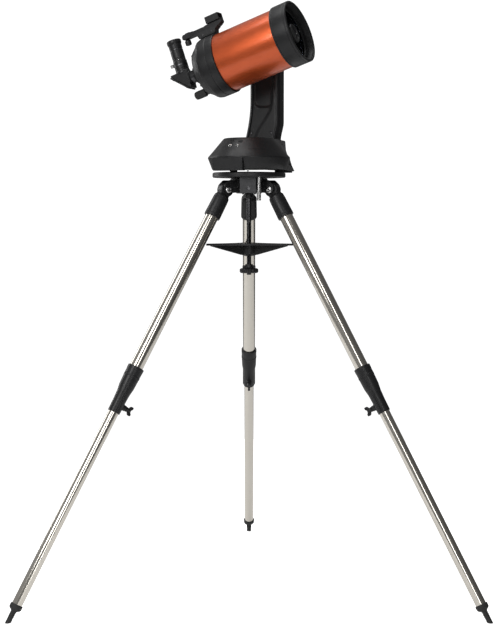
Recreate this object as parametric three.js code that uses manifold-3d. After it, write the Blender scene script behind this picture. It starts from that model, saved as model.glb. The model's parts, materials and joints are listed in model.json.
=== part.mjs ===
// Computerised Maksutov telescope on a single-arm mount and a folding steel tripod.
//
// Millimetres, +Z up. The origin is on the ground, at the middle of the footprint's bounding box.
// +X is to the right of someone who stands in front, and the telescope points right and forward.
// A part's own frame is noted where it is built: the tripod about its centre line, each leg from its
// hinge, the mount about its azimuth axis, the optical tube about its altitude axis.

import * as THREE from 'three';
import { mergeVertices } from 'three/addons/utils/BufferGeometryUtils.js';
import Module from 'manifold-3d';

const wasm = await Module();
wasm.setup();

const GAP = 0.3; // air between pieces that touch
const LARGE_SIDES = 36; // sides of a turned piece, by its size
const SIDES = 16;
const SMALL_SIDES = 10;
const degrees = THREE.MathUtils.degToRad;

// Tripod
const FOOT_RADIUS = 630; // circle through the three foot tips
const HINGE_RADIUS = 66; // circle through the three leg hinges
const HINGE_HEIGHT = 981;
const SPLAY = Math.atan2(FOOT_RADIUS - HINGE_RADIUS, HINGE_HEIGHT);
const LEG_LENGTH = Math.hypot(FOOT_RADIUS - HINGE_RADIUS, HINGE_HEIGHT);
const UPPER_TUBE_RADIUS = 16;
const LOWER_TUBE_RADIUS = 12.5;
const TUBE_WALL = 1.4;
const SOCKET_RADIUS = 20;
const SOCKET_START = 12; // distances down a leg from its hinge
const SOCKET_END = 75;
const UPPER_TUBE_START = 24;
const CLAMP_START = 481;
const CLAMP_SHOULDER = 500; // the upper tube ends here
const CLAMP_END = 599;
const KNOB_STATION = 579;
const LOWER_TUBE_START = 516;
const FOOT_START = 1086;
const LEG_BOLT_RADIUS = 4;
const BOLT_HEAD_RADIUS = 7.5;
const BOLT_HEAD_HEIGHT = 5;
const KNUCKLE_RADIUS = 17;
const KNUCKLE_HALF_WIDTH = 12;
const LUG_OUTER = 17.5;
const LUG_RADIUS = 11;
const LUG_INNER_END = 30; // the lugs grow out of the hub from here
const LUG_TOP = 1005;
const HEAD_RADIUS = 46;
const HEAD_BOTTOM = 973;
const HEAD_TOP = 1009.5;
const ROD_RADIUS = 6;
const ROD_BOTTOM = 775;
const TRAY_TOP = 852;
const TRAY_PLATE = 5;
const TRAY_HUB_BOTTOM = 821;
const TRAY_HUB_RADIUS = 20;
const TRAY_TIP_HALF_WIDTH = 12;
const TRAY_TIP_SLOPE = degrees(30); // the tips are cut askew so that they turn clear of the legs
const TRAY_WAIST = 37; // the plate is drawn in towards this radius between its tips
const TRAY_RIB_HALF_WIDTH = 6;
const TRAY_KNOB_RADIUS = 23;
const TRAY_KNOB_BOTTOM = 779;
const TRAY_KNOB_RIM = 791;
const TRAY_KNOB_TOP = 801;

// Tilting top plate
const PLATE_RADIUS = 89;
const PLATE_BOTTOM = 1011;
const PLATE_TOP = 1023.4;
const TILT_Y = -61;
const TILT_Z = 984;
const BRACKET_X = -2.5;
const BRACKET_WIDTH = 39;
const BRACKET_DEPTH = 20;
const TONGUE_WIDTH = 11;
const TILT_PIN_RADIUS = 3;
const SCREW_X = 23.5;
const SCREW_Y = -64;
const SCREW_RADIUS = 6;
const SCREW_BOTTOM = 955;

// Mount
const MOUNT_TURN = degrees(-24.5); // where the mount points, about its azimuth axis
const BASE_BOTTOM = 1030;
const BASE_CREASE = 1059;
const BASE_SHOULDER = 1082;
const BASE_TOP = 1106;
const CREASE_RADIUS = 100.5;
const BASE_TOP_RADIUS = 61;
const BASE_WALL = 3;
const BASE_CORNER = 9;
const BASE_FOOT_RADIUS = 9;
const BASE_FOOT_CIRCLE = 75;
const BASE_PLATE_RADIUS = 84.5;
const POST_RADIUS = 8;
const POST_TOP = 1058;
const CHASSIS_RADIUS = 86;
const CHASSIS_BOTTOM = 1046;
const CHASSIS_TOP = 1049;
const AZIMUTH_MOTOR = [50, 30, 0]; // its pinion stands beside the azimuth gear
const MOTOR_SHAFT_RADIUS = 4;
const BOARD_BOTTOM = 1086;
const BOARD_THICKNESS = 2;
const BAY_LEFT = -50; // battery bay on the side away from the arm
const BAY_RIGHT = 28;
const BAY_FRONT = -98;
const BAY_BACK = -87;
const BAY_BOTTOM = 1026;
const BAY_TOP = 1057;
const DOOR_THICKNESS = 2.7;
const BATTERY_BACK = -46;
const BATTERY_FRONT = -76;
const SWITCH_ANGLE = degrees(277);
const SWITCH_Z = 1096;
const SWITCH_TRAVEL = 3;
const AXIS_HEIGHT = 1312; // altitude axis
const ARM_INNER = 88;
const ARM_SEAM = 110;
const ARM_OUTER = 128;
const ARM_HALF_WIDTH = 40;
const ARM_TOP_RADIUS = 45;
const ARM_FLARE_LEFT = 55;
const ARM_WALL = 4;
const SHAFT_RADIUS = 15;
const ARM_NECK = 40; // the straight part of the arm ends this far under the altitude axis

// Optical tube, along its own X from the altitude axis
const TUBE_ALTITUDE = degrees(18.8);
const TUBE_RADIUS = 72;
const TUBE_SHEET = 1.2;
const TUBE_BACK = -62;
const TUBE_FRONT = 97;
const FRONT_CELL_RADIUS = 76.5;
const FRONT_FACE = 141;
const REAR_CELL_RADIUS = 76;
const REAR_FACE = -130;
const CORRECTOR_RADIUS = 65.5;
const CORRECTOR_FRONT = 112;
const CORRECTOR_BACK = 105.4;
const CORRECTOR_FRONT_CURVE = 360; // radii of curvature
const CORRECTOR_BACK_CURVE = 370;
const CORRECTOR_SEAT = 110.2;
const SECONDARY_RADIUS = 24;
const SECONDARY_BACK = 113.4;
const SECONDARY_FRONT = 128;
const MIRROR_RADIUS = 62;
const MIRROR_BACK = -106;
const MIRROR_THICKNESS = 9; // at its middle
const MIRROR_CURVE = 520;
const BAFFLE_RADIUS = 15.5;
const BAFFLE_BACK = -126;
const BAFFLE_FRONT = 8;
const VISUAL_BACK_END = -150;
const VISUAL_BACK_RADIUS = 22;
const VISUAL_BACK_FLANGE = 26;
const VISUAL_SCREW_X = -143;
const THUMBSCREW_RADIUS = 2;
const LIGHT_RADIUS = 12.5; // clear bore through the diagonal
const NOSE_RADIUS = 15.7;
const NOSE_END = -165;
const EYEPIECE_X = -182;
const DIAGONAL_BACK = -216;
const DIAGONAL_HALF_WIDTH = 17;
const DIAGONAL_HIGH = [DIAGONAL_BACK + 5, 16]; // ends of its slanted face
const DIAGONAL_LOW = [-170, -25];
const HOLDER_RADIUS = 17.5;
const HOLDER_TOP = 50;
const HOLDER_SCREW_Z = 44;
const EYEPIECE_TOP = 103;
const EYEPIECE_RADIUS = 16.5;
const EYEPIECE_CAP = 18.2;
const BARREL_RADIUS = EYEPIECE_RADIUS - 0.75;
const FOCUS_Y = 8;
const FOCUS_Z = -46;
const FOCUS_RADIUS = 10.5;
const FOCUS_SHAFT = 3;
const FINDER_BACK = -154;
const FINDER_FRONT = -41;
const FINDER_BOTTOM = 91;
const FINDER_TOP = 104;
const HOOD_BACK = -80;
const HOOD_FRONT = -43;
const HOOD_TOP = 122;
const DIAL_RADIUS = 8;

// Finishes
const finish = (color, roughness, metalness) =>
  new THREE.MeshStandardMaterial({ color, roughness, metalness });
const blackPlastic = finish(0x242426, 0.5, 0);
const blackCasting = finish(0x1d1d1f, 0.45, 0.3);
const rubber = finish(0x151515, 0.85, 0);
const steel = finish(0xb9b4a8, 0.2, 1);
const chrome = finish(0xd8d8d8, 0.12, 1);
const brass = finish(0xb08d57, 0.35, 1);
const orange = finish(0xc8552a, 0.32, 0.7);
const glass = finish(0x223038, 0.05, 0);
const mirror = finish(0xe6e8ea, 0.03, 1);
const boardGreen = finish(0x1f4d33, 0.6, 0);

const model = new THREE.Group();

// --- Shape helpers ---

// A three.js geometry as a solid that can be joined and cut.
function solid(geometry) {
  const bare = geometry.clone();
  bare.deleteAttribute('normal');
  bare.deleteAttribute('uv');
  const merged = mergeVertices(bare, 1e-4);
  const corners = Array.from(merged.index.array);
  const triVerts = [];
  for (let i = 0; i < corners.length; i += 3) {
    const [a, b, c] = corners.slice(i, i + 3);
    if (a !== b && b !== c && c !== a) triVerts.push(a, b, c);
  }
  const vertProperties = new Float32Array(merged.attributes.position.array);
  const mesh = new wasm.Mesh({ numProp: 3, vertProperties, triVerts: new Uint32Array(triVerts) });
  return new wasm.Manifold(mesh);
}

// A solid as a three.js geometry again.
function geometryOf(shape) {
  const mesh = shape.getMesh();
  const geometry = new THREE.BufferGeometry();
  geometry.setAttribute('position', new THREE.BufferAttribute(new Float32Array(mesh.vertProperties), 3));
  geometry.setIndex(new THREE.BufferAttribute(new Uint32Array(mesh.triVerts), 1));
  geometry.computeVertexNormals();
  return geometry;
}

// All pieces joined, less all cuts.
function carve(pieces, cuts = []) {
  let shape = solid(pieces[0]);
  for (const piece of pieces.slice(1)) shape = shape.add(solid(piece));
  for (const cut of cuts) shape = shape.subtract(solid(cut));
  return geometryOf(shape);
}

// A box between two corners.
function block(low, high) {
  const size = high.map((value, i) => value - low[i]);
  const box = new THREE.BoxGeometry(...size);
  return box.translate(...low.map((value, i) => value + size[i] / 2));
}

// A turned piece about Z. The profile is [radius, height] pairs that close on the axis or on themselves.
function turned(profile, segments = SIDES) {
  const points = profile.map(([radius, height]) => new THREE.Vector2(radius, height));
  return new THREE.LatheGeometry(points, segments).rotateX(Math.PI / 2);
}

// A solid disc or rod about Z.
function rod(radius, low, high, segments = SIDES) {
  return turned([[0, low], [radius, low], [radius, high], [0, high]], segments);
}

// A ring about Z.
function ring(inner, outer, low, high, segments = SIDES) {
  return turned([[inner, low], [outer, low], [outer, high], [inner, high], [inner, low]], segments);
}

// The same pieces about X or Y.
const alongX = (geometry) => geometry.rotateY(Math.PI / 2);
const alongY = (geometry) => geometry.rotateX(-Math.PI / 2);

// An outline in X and Z, given as [x, z] pairs, with thickness from low to high in Y.
function slab(outline, low, high) {
  const shape = new THREE.Shape(outline.map(([x, z]) => new THREE.Vector2(x, z)));
  const geometry = new THREE.ExtrudeGeometry(shape, { depth: high - low, bevelEnabled: false });
  return geometry.rotateX(Math.PI / 2).translate(0, high, 0);
}

// A skin over rings of points that correspond, closed with a flat cap at each end.
function loft(rings) {
  const count = rings[0].length;
  const positions = rings.flat().flatMap((point) => [point.x, point.y, point.z]);
  const faces = [];
  for (let level = 0; level + 1 < rings.length; level += 1) {
    for (let i = 0; i < count; i += 1) {
      const a = level * count + i;
      const b = level * count + ((i + 1) % count);
      faces.push(a, b, b + count, a, b + count, a + count);
    }
  }
  const last = (rings.length - 1) * count;
  for (let i = 1; i + 1 < count; i += 1) {
    faces.push(0, i + 1, i);
    faces.push(last, last + i, last + i + 1);
  }
  const geometry = new THREE.BufferGeometry();
  geometry.setAttribute('position', new THREE.Float32BufferAttribute(positions, 3));
  geometry.setIndex(faces);
  return geometry;
}

// A named mesh in a group.
function add(parent, name, geometry, material) {
  const mesh = new THREE.Mesh(geometry, material);
  mesh.name = name;
  parent.add(mesh);
  return mesh;
}

// A child group at a place, turned about one axis.
function place(parent, position, axis = 'z', angle = 0) {
  const group = new THREE.Group();
  group.position.set(...position);
  group.rotation[axis] = angle;
  parent.add(group);
  return group;
}

// --- Tripod head ---

// A cast hub with two lugs for each leg, and a tongue at the front for the tilting plate.
function tripodHead() {
  const pieces = [rod(HEAD_RADIUS, HEAD_BOTTOM, HEAD_TOP, 24)];
  const cuts = [rod(ROD_RADIUS + GAP, HEAD_BOTTOM - 1, HEAD_TOP + 1, SMALL_SIDES)];
  for (const { azimuth } of LEGS) {
    for (const side of [-1, 1]) {
      const [near, far] = [side * (KNUCKLE_HALF_WIDTH + GAP), side * LUG_OUTER].sort((a, b) => a - b);
      pieces.push(block([LUG_INNER_END, near, HEAD_BOTTOM], [HINGE_RADIUS, far, LUG_TOP]).rotateZ(azimuth));
      const boss = alongY(rod(LUG_RADIUS, near, far, 12)).translate(HINGE_RADIUS, 0, HINGE_HEIGHT);
      pieces.push(boss.rotateZ(azimuth));
    }
    const bolt = alongY(rod(LEG_BOLT_RADIUS + GAP, -LUG_OUTER - 1, LUG_OUTER + 1, SMALL_SIDES));
    cuts.push(bolt.translate(HINGE_RADIUS, 0, HINGE_HEIGHT).rotateZ(azimuth));
    const reach = KNUCKLE_RADIUS + 2;
    const slot = block([HINGE_RADIUS - reach, -KNUCKLE_HALF_WIDTH - GAP, HEAD_BOTTOM - 1],
      [HINGE_RADIUS + reach, KNUCKLE_HALF_WIDTH + GAP, HEAD_TOP + 1]);
    cuts.push(slot.rotateZ(azimuth));
  }
  const half = TONGUE_WIDTH / 2;
  pieces.push(block([BRACKET_X - half, TILT_Y, TILT_Z - half], [BRACKET_X + half, 0, TILT_Z + half]));
  pieces.push(alongX(rod(half, -half, half, 12)).translate(BRACKET_X, TILT_Y, TILT_Z));
  cuts.push(alongX(rod(TILT_PIN_RADIUS + GAP, -9, 9, SMALL_SIDES)).translate(BRACKET_X, TILT_Y, TILT_Z));
  return carve(pieces, cuts);
}

// A leg's pivot bolt with its head and nut.
function legBolt() {
  const head = LUG_OUTER + GAP;
  const end = head + BOLT_HEAD_HEIGHT;
  const wide = BOLT_HEAD_RADIUS;
  const profile = [[0, -end], [wide, -end], [wide, -head], [LEG_BOLT_RADIUS, -head],
    [LEG_BOLT_RADIUS, head], [wide, head], [wide, end], [0, end]];
  return alongY(turned(profile, SMALL_SIDES));
}

// --- Tray ---

// A three-pointed plate whose tips meet the legs, with a rib under each arm and a deep hub.
function accessoryTray() {
  const legRadius = HINGE_RADIUS + (HINGE_HEIGHT - TRAY_TOP) * Math.tan(SPLAY);
  const slope = Math.tan(TRAY_TIP_SLOPE);
  const semiRadial = UPPER_TUBE_RADIUS / Math.cos(SPLAY);
  const reach = legRadius - Math.hypot(semiRadial, UPPER_TUBE_RADIUS * slope) - 2 * GAP;
  const outline = new THREE.Shape();
  for (let arm = 0; arm < 3; arm += 1) {
    const corner = (along, across) => new THREE.Vector2(along, across)
      .rotateAround(new THREE.Vector2(), LEGS[0].azimuth + arm * degrees(120));
    const start = corner(reach - TRAY_TIP_HALF_WIDTH * slope, -TRAY_TIP_HALF_WIDTH);
    const end = corner(reach + TRAY_TIP_HALF_WIDTH * slope, TRAY_TIP_HALF_WIDTH);
    const next = corner(reach - TRAY_TIP_HALF_WIDTH * slope, -TRAY_TIP_HALF_WIDTH)
      .rotateAround(new THREE.Vector2(), degrees(120));
    const waist = corner(TRAY_WAIST * Math.cos(degrees(60)), TRAY_WAIST * Math.sin(degrees(60)));
    if (arm === 0) outline.moveTo(start.x, start.y);
    outline.lineTo(end.x, end.y);
    outline.quadraticCurveTo(waist.x, waist.y, next.x, next.y);
  }
  const plate = new THREE.ExtrudeGeometry(outline,
    { depth: TRAY_PLATE, bevelEnabled: false, curveSegments: 6 });
  plate.translate(0, 0, TRAY_TOP - TRAY_PLATE);
  const pieces = [plate, rod(TRAY_HUB_RADIUS, TRAY_HUB_BOTTOM, TRAY_TOP - 1)];
  for (const { azimuth } of LEGS) {
    const under = TRAY_TOP - TRAY_PLATE;
    const rib = slab([[8, TRAY_HUB_BOTTOM], [reach - 12, under - 1], [reach - 12, under + 1],
      [8, under + 1]], -TRAY_RIB_HALF_WIDTH, TRAY_RIB_HALF_WIDTH);
    pieces.push(rib.rotateZ(azimuth));
  }
  return carve(pieces, [rod(ROD_RADIUS + 1, TRAY_HUB_BOTTOM - 1, TRAY_TOP + 1, SMALL_SIDES)]);
}

// The nut on the centre rod that presses the tray against the legs.
function trayKnob() {
  const bore = ROD_RADIUS + GAP;
  return turned([[bore, TRAY_KNOB_BOTTOM], [TRAY_KNOB_RADIUS, TRAY_KNOB_BOTTOM],
    [TRAY_KNOB_RADIUS, TRAY_KNOB_RIM], [12, TRAY_KNOB_RIM], [10, TRAY_KNOB_TOP],
    [bore, TRAY_KNOB_TOP], [bore, TRAY_KNOB_BOTTOM]]);
}

// --- Leg, down its own -Z from the hinge, +X on the outer side ---

function legSocket() {
  const body = turned([[0, -SOCKET_END], [SOCKET_RADIUS, -SOCKET_END], [SOCKET_RADIUS - 1, -SOCKET_START - 8],
    [14, -SOCKET_START], [0, -SOCKET_START]]);
  const half = KNUCKLE_HALF_WIDTH;
  const knuckle = alongY(rod(KNUCKLE_RADIUS, -half, half));
  const neck = block([-13, -half, -SOCKET_START - 14], [13, half, 0]);
  const bore = rod(UPPER_TUBE_RADIUS + GAP, -SOCKET_END - 1, -UPPER_TUBE_START + GAP);
  const pin = alongY(rod(LEG_BOLT_RADIUS + GAP, -half - 1, half + 1, SMALL_SIDES));
  return carve([body, knuckle, neck], [bore, pin]);
}

function legClamp() {
  const body = turned([[0, -CLAMP_END], [15, -CLAMP_END], [15.5, -CLAMP_END + 30], [19.5, -CLAMP_START - 42],
    [20, -CLAMP_START], [0, -CLAMP_START]]);
  const boss = alongX(rod(7, -23, -8, SMALL_SIDES)).translate(0, 0, -KNOB_STATION);
  const upper = rod(UPPER_TUBE_RADIUS + GAP, -CLAMP_SHOULDER, -CLAMP_START + 1);
  const lower = rod(LOWER_TUBE_RADIUS + GAP, -CLAMP_END - 1, -CLAMP_SHOULDER + 1);
  const thread = alongX(rod(3 + GAP, -24, -14, SMALL_SIDES)).translate(0, 0, -KNOB_STATION);
  return carve([body, boss], [upper, lower, thread]);
}

// A wing-headed screw, turning about X, that locks the lower tube.
function clampKnob() {
  const shank = alongX(rod(3, -34, -14, SMALL_SIDES));
  const wing = block([-42, -5.5, -11.5], [-31, 5.5, 11.5]);
  const collar = alongX(rod(6, -31.5, -23 - GAP, SMALL_SIDES));
  return carve([shank, collar, wing]);
}

function legFoot() {
  const tip = LEG_LENGTH + 12;
  const body = turned([[0, -tip], [6.3, -tip], [6.3, -FOOT_START - 16], [9, -FOOT_START - 14],
    [14, -FOOT_START - 12], [15, -FOOT_START - GAP], [LOWER_TUBE_RADIUS - TUBE_WALL - GAP, -FOOT_START - GAP],
    [LOWER_TUBE_RADIUS - TUBE_WALL - GAP, -FOOT_START + 14], [0, -FOOT_START + 14]], 14);
  const ground = block([-60, -60, -60], [60, 60, 0]).rotateY(SPLAY).translate(0, 0, -LEG_LENGTH);
  return carve([body], [ground]);
}

const LEGS = [
  { name: 'left', azimuth: degrees(210) },
  { name: 'right', azimuth: degrees(330) },
  { name: 'back', azimuth: degrees(90) },
];

function buildTripod(parent) {
  add(parent, 'tripod_head', tripodHead(), blackCasting);
  add(parent, 'center_rod', rod(ROD_RADIUS, ROD_BOTTOM, HEAD_TOP - 4, SMALL_SIDES), chrome);
  add(parent, 'accessory_tray', accessoryTray(), blackPlastic);
  add(parent, 'tray_knob', trayKnob(), blackPlastic);
  for (const { name, azimuth } of LEGS) {
    const side = place(parent, [0, 0, 0], 'z', azimuth);
    const leg = place(side, [HINGE_RADIUS, 0, HINGE_HEIGHT], 'y', -SPLAY);
    add(leg, `leg_${name}_bolt`, legBolt(), chrome);
    add(leg, `leg_${name}_socket`, legSocket(), blackPlastic);
    add(leg, `leg_${name}_upper_tube`, ring(UPPER_TUBE_RADIUS - TUBE_WALL, UPPER_TUBE_RADIUS,
      -CLAMP_SHOULDER + GAP, -UPPER_TUBE_START), steel);
    add(leg, `leg_${name}_clamp`, legClamp(), blackPlastic);
    add(leg, `leg_${name}_clamp_knob`, clampKnob(), blackPlastic).position.z = -KNOB_STATION;
    add(leg, `leg_${name}_lower_tube`, ring(LOWER_TUBE_RADIUS - TUBE_WALL, LOWER_TUBE_RADIUS,
      -FOOT_START, -LOWER_TUBE_START), steel);
    add(leg, `leg_${name}_foot`, legFoot(), rubber);
  }
}

// --- Tilting top plate: it carries the mount and turns up about a pin at the front of the head ---

function tiltPlate() {
  const left = BRACKET_X - BRACKET_WIDTH / 2;
  const right = BRACKET_X + BRACKET_WIDTH / 2;
  const front = TILT_Y - BRACKET_DEPTH / 2 - 1;
  const back = TILT_Y + BRACKET_DEPTH / 2 - 1;
  const slotHalf = TONGUE_WIDTH / 2 + 2 * GAP;
  const disc = rod(PLATE_RADIUS, PLATE_BOTTOM, PLATE_TOP, LARGE_SIDES);
  const bracket = block([left, front, HEAD_BOTTOM], [right, back, PLATE_BOTTOM + 1]);
  const slot = block([BRACKET_X - slotHalf, TILT_Y - TONGUE_WIDTH / 2 - 2 * GAP, HEAD_BOTTOM - 1],
    [BRACKET_X + slotHalf, back + 1, PLATE_BOTTOM - 12]);
  const pin = alongX(rod(TILT_PIN_RADIUS + GAP, left - 1, right + 1, SMALL_SIDES))
    .translate(0, TILT_Y, TILT_Z);
  const screw = rod(SCREW_RADIUS + 2 * GAP, PLATE_BOTTOM - 1, PLATE_TOP + 1, SMALL_SIDES)
    .translate(SCREW_X, SCREW_Y, 0);
  return carve([disc, bracket], [slot, pin, screw]);
}

// The captive screw that holds the mount down, hanging in its hole in the plate.
function mountScrew() {
  const top = PLATE_TOP - 2;
  return turned([[0, SCREW_BOTTOM], [SCREW_RADIUS - 1, SCREW_BOTTOM], [SCREW_RADIUS, SCREW_BOTTOM + 1.5],
    [SCREW_RADIUS, top], [0, top]], SMALL_SIDES);
}

function buildTopPlate(parent) {
  add(parent, 'tilt_plate', tiltPlate(), blackCasting);
  const pinHalf = BRACKET_WIDTH / 2;
  add(parent, 'tilt_pin', alongX(rod(TILT_PIN_RADIUS, -pinHalf, pinHalf, SMALL_SIDES)), chrome)
    .position.set(BRACKET_X, TILT_Y, TILT_Z);
  add(parent, 'mount_screw', mountScrew(), chrome).position.set(SCREW_X, SCREW_Y, 0);
}

// --- Mount: base plate and gear stay on the top plate, the rest turns about the azimuth axis ---

function basePlate() {
  const pieces = [rod(BASE_PLATE_RADIUS, BASE_BOTTOM, BASE_BOTTOM + 3, LARGE_SIDES),
    rod(POST_RADIUS, BASE_BOTTOM + 1, POST_TOP, SMALL_SIDES)];
  for (let i = 0; i < 3; i += 1) {
    const foot = rod(BASE_FOOT_RADIUS, PLATE_TOP + GAP, BASE_BOTTOM + 1, SMALL_SIDES);
    pieces.push(foot.translate(BASE_FOOT_CIRCLE, 0, 0).rotateZ(i * degrees(120)));
  }
  return carve(pieces);
}

// One level of the base's outline, sampled by the direction in which its skin faces: a round front
// about the axis, and two rounded corners under the arm. Inset shrinks it all round.
function baseLevel([z, round, left, right, back], inset) {
  const samples = 30;
  const discs = [
    { x: 0, y: 0, radius: round - inset },
    { x: -left + BASE_CORNER, y: back - BASE_CORNER, radius: BASE_CORNER - inset },
    { x: right - BASE_CORNER, y: back - BASE_CORNER, radius: BASE_CORNER - inset },
  ];
  const points = [];
  for (let i = 0; i < samples; i += 1) {
    const angle = (i / samples) * 2 * Math.PI;
    const [nx, ny] = [Math.cos(angle), Math.sin(angle)];
    const reach = (disc) => disc.x * nx + disc.y * ny + disc.radius;
    const disc = discs.reduce((best, other) => (reach(other) > reach(best) ? other : best));
    points.push(new THREE.Vector3(disc.x + disc.radius * nx, disc.y + disc.radius * ny, z));
  }
  return points;
}

// Height, front radius, left and right half width at the arm side, and depth there.
const BASE_LEVELS = [
  [BASE_BOTTOM, 89.5, 64, 62, 143],
  [BASE_CREASE, CREASE_RADIUS, 60, 51, 133],
  [BASE_SHOULDER, 81, 57, 44, 130],
  [BASE_TOP, BASE_TOP_RADIUS, 55, 42, 130],
];

// A block lying in the base's upper slope, where the power switch is.
function switchBlock(length, width, low, high) {
  const run = CREASE_RADIUS - BASE_TOP_RADIUS;
  const rise = BASE_TOP - BASE_CREASE;
  const seat = block([-width / 2, -length / 2, low], [width / 2, length / 2, high]);
  const radius = BASE_TOP_RADIUS + run * (BASE_TOP - SWITCH_Z) / rise;
  return seat.rotateY(Math.atan2(rise, run)).translate(radius, 0, SWITCH_Z).rotateZ(SWITCH_ANGLE);
}

function baseHousing() {
  const outer = loft(BASE_LEVELS.map((level) => baseLevel(level, 0)));
  const hollow = BASE_LEVELS.map(([z, ...rest]) => [z === BASE_TOP ? z - BASE_WALL : z, ...rest]);
  hollow[0][0] -= 1;
  const inner = loft(hollow.map((level) => baseLevel(level, BASE_WALL)));
  const shell = solid(outer).subtract(solid(inner));
  const bay = block([BAY_LEFT, BAY_FRONT, BAY_BOTTOM], [BAY_RIGHT, BAY_BACK, BAY_TOP]);
  const lip = block([16, 112, BAY_BOTTOM], [58, 140, BASE_BOTTOM + 6]);
  const opening = block([BAY_LEFT + 7, BAY_FRONT - 3, BAY_BOTTOM + 6],
    [BAY_RIGHT - 7, BAY_BACK + 6, BAY_TOP - 6]);
  const seat = switchBlock(12 + SWITCH_TRAVEL, 8, -6, 6);
  const doorSpace = block([BAY_LEFT - 1, BAY_FRONT - 8, BAY_BOTTOM - 1],
    [BAY_RIGHT + 1, BAY_FRONT, BAY_TOP + 1]);
  return geometryOf(shell.add(solid(bay)).add(solid(lip))
    .subtract(solid(doorSpace)).subtract(solid(opening)).subtract(solid(seat)));
}

function batteryDoor() {
  return block([BAY_LEFT + GAP, BAY_FRONT - GAP - DOOR_THICKNESS, BAY_BOTTOM + GAP],
    [BAY_RIGHT - GAP, BAY_FRONT - GAP, BAY_TOP - GAP]);
}

function baseChassis() {
  const deck = rod(CHASSIS_RADIUS, CHASSIS_BOTTOM, CHASSIS_TOP, 24);
  const [low, high] = [CHASSIS_BOTTOM - 6, CHASSIS_TOP + 6];
  const cuts = [
    rod(POST_RADIUS + 3 * GAP, low, high, SMALL_SIDES),
    block([BAY_LEFT, -110, low], [BAY_RIGHT, BATTERY_BACK + 2, high]),
    rod(MOTOR_SHAFT_RADIUS + 1, low, high, SMALL_SIDES).translate(...AZIMUTH_MOTOR),
  ];
  return carve([deck], cuts);
}

// A gear motor standing on the chassis, its pinion beside the fixed azimuth gear.
function azimuthMotor() {
  const [pinion, can, shaft] = [13.5, 13, MOTOR_SHAFT_RADIUS];
  const seat = CHASSIS_TOP + GAP;
  return turned([[0, 1035], [pinion, 1035], [pinion, 1041], [shaft, 1041], [shaft, seat], [can, seat],
    [can, seat + 27], [0, seat + 27]], 12)
    .translate(...AZIMUTH_MOTOR);
}

// The arm seen from the side, with a round top about the altitude axis and a foot that flares back.
function armOutline(inset) {
  const points = [];
  const low = BASE_TOP + GAP + inset;
  const half = ARM_HALF_WIDTH - inset;
  const top = ARM_TOP_RADIUS - inset;
  points.push([half + 1, low], [half, low + 40], [half, AXIS_HEIGHT - ARM_NECK]);
  const steps = 10;
  const start = -Math.asin(20 / ARM_TOP_RADIUS);
  for (let i = 0; i <= steps; i += 1) {
    const angle = start + (i / steps) * (Math.PI - 2 * start);
    points.push([top * Math.cos(angle), AXIS_HEIGHT + top * Math.sin(angle)]);
  }
  points.push([-half, AXIS_HEIGHT - ARM_NECK], [-half, low + 75], [-half - 4, low + 35]);
  points.push([-ARM_FLARE_LEFT + inset + 1, low]);
  return points;
}

function armHalf(low, high, cavityLow, cavityHigh) {
  const cuts = [slab(armOutline(ARM_WALL), cavityLow, cavityHigh)];
  if (low === ARM_INNER) {
    cuts.push(alongY(rod(SHAFT_RADIUS + 2 * GAP, low - 1, high + 1)).translate(0, 0, AXIS_HEIGHT));
  }
  return carve([slab(armOutline(0), low, high)], cuts);
}

// A gear motor in the arm, its pinion just under the altitude gear.
function altitudeMotor() {
  const y = (ARM_SEAM + ARM_INNER) / 2 + 7;
  const [can, shaft, pinion] = [10, MOTOR_SHAFT_RADIUS, 8];
  const top = AXIS_HEIGHT - 29;
  return turned([[0, top - 110], [can, top - 110], [can, top - 40], [shaft, top - 40], [shaft, top - 8],
    [pinion, top - 8], [pinion, top], [0, top]], 12).translate(0, y, 0);
}

function buildMount(parent) {
  const fixed = place(parent, [0, 0, 0]);
  add(fixed, 'base_plate', basePlate(), blackCasting);
  add(fixed, 'azimuth_gear', ring(POST_RADIUS + GAP, 44, 1034, 1042, 20), brass);
  const mount = place(parent, [0, 0, 0], 'z', MOUNT_TURN);
  add(mount, 'base_housing', baseHousing(), blackPlastic);
  add(mount, 'base_chassis', baseChassis(), steel);
  add(mount, 'azimuth_motor', azimuthMotor(), steel);
  add(mount, 'circuit_board', block([-38, -32, BOARD_BOTTOM],
    [38, 38, BOARD_BOTTOM + BOARD_THICKNESS]), boardGreen);
  add(mount, 'battery_pack', block([BAY_LEFT + 10, BATTERY_FRONT, 1036],
    [BAY_RIGHT - 10, BATTERY_BACK, 1064]), blackPlastic);
  add(mount, 'battery_door', batteryDoor(), blackPlastic);
  const travel = [SWITCH_TRAVEL / 2 * Math.sin(SWITCH_ANGLE), -SWITCH_TRAVEL / 2 * Math.cos(SWITCH_ANGLE)];
  add(mount, 'power_switch', switchBlock(11, 7, -4, 2), blackPlastic).position.set(...travel, 0);
  const shell = armHalf(ARM_INNER, ARM_SEAM, ARM_INNER + ARM_WALL, ARM_SEAM + 1);
  add(mount, 'arm_shell', shell, blackPlastic);
  const cover = armHalf(ARM_SEAM + GAP, ARM_OUTER, ARM_SEAM - 1, ARM_OUTER - ARM_WALL);
  add(mount, 'arm_cover', cover, blackPlastic);
  add(mount, 'altitude_motor', altitudeMotor(), steel);
  const tube = place(mount, [0, 0, AXIS_HEIGHT], 'y', -TUBE_ALTITUDE);
  buildOpticalTube(tube);
}

// --- Optical tube, along +X, with the altitude axis along Y through the origin ---

function saddle() {
  const pad = block([-45, 60, -24], [45, 84, 24]);
  const shaft = alongY(rod(SHAFT_RADIUS, 80, 112));
  const hug = alongX(rod(TUBE_RADIUS + GAP, -60, 60, LARGE_SIDES));
  return carve([pad, shaft], [hug]);
}

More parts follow.
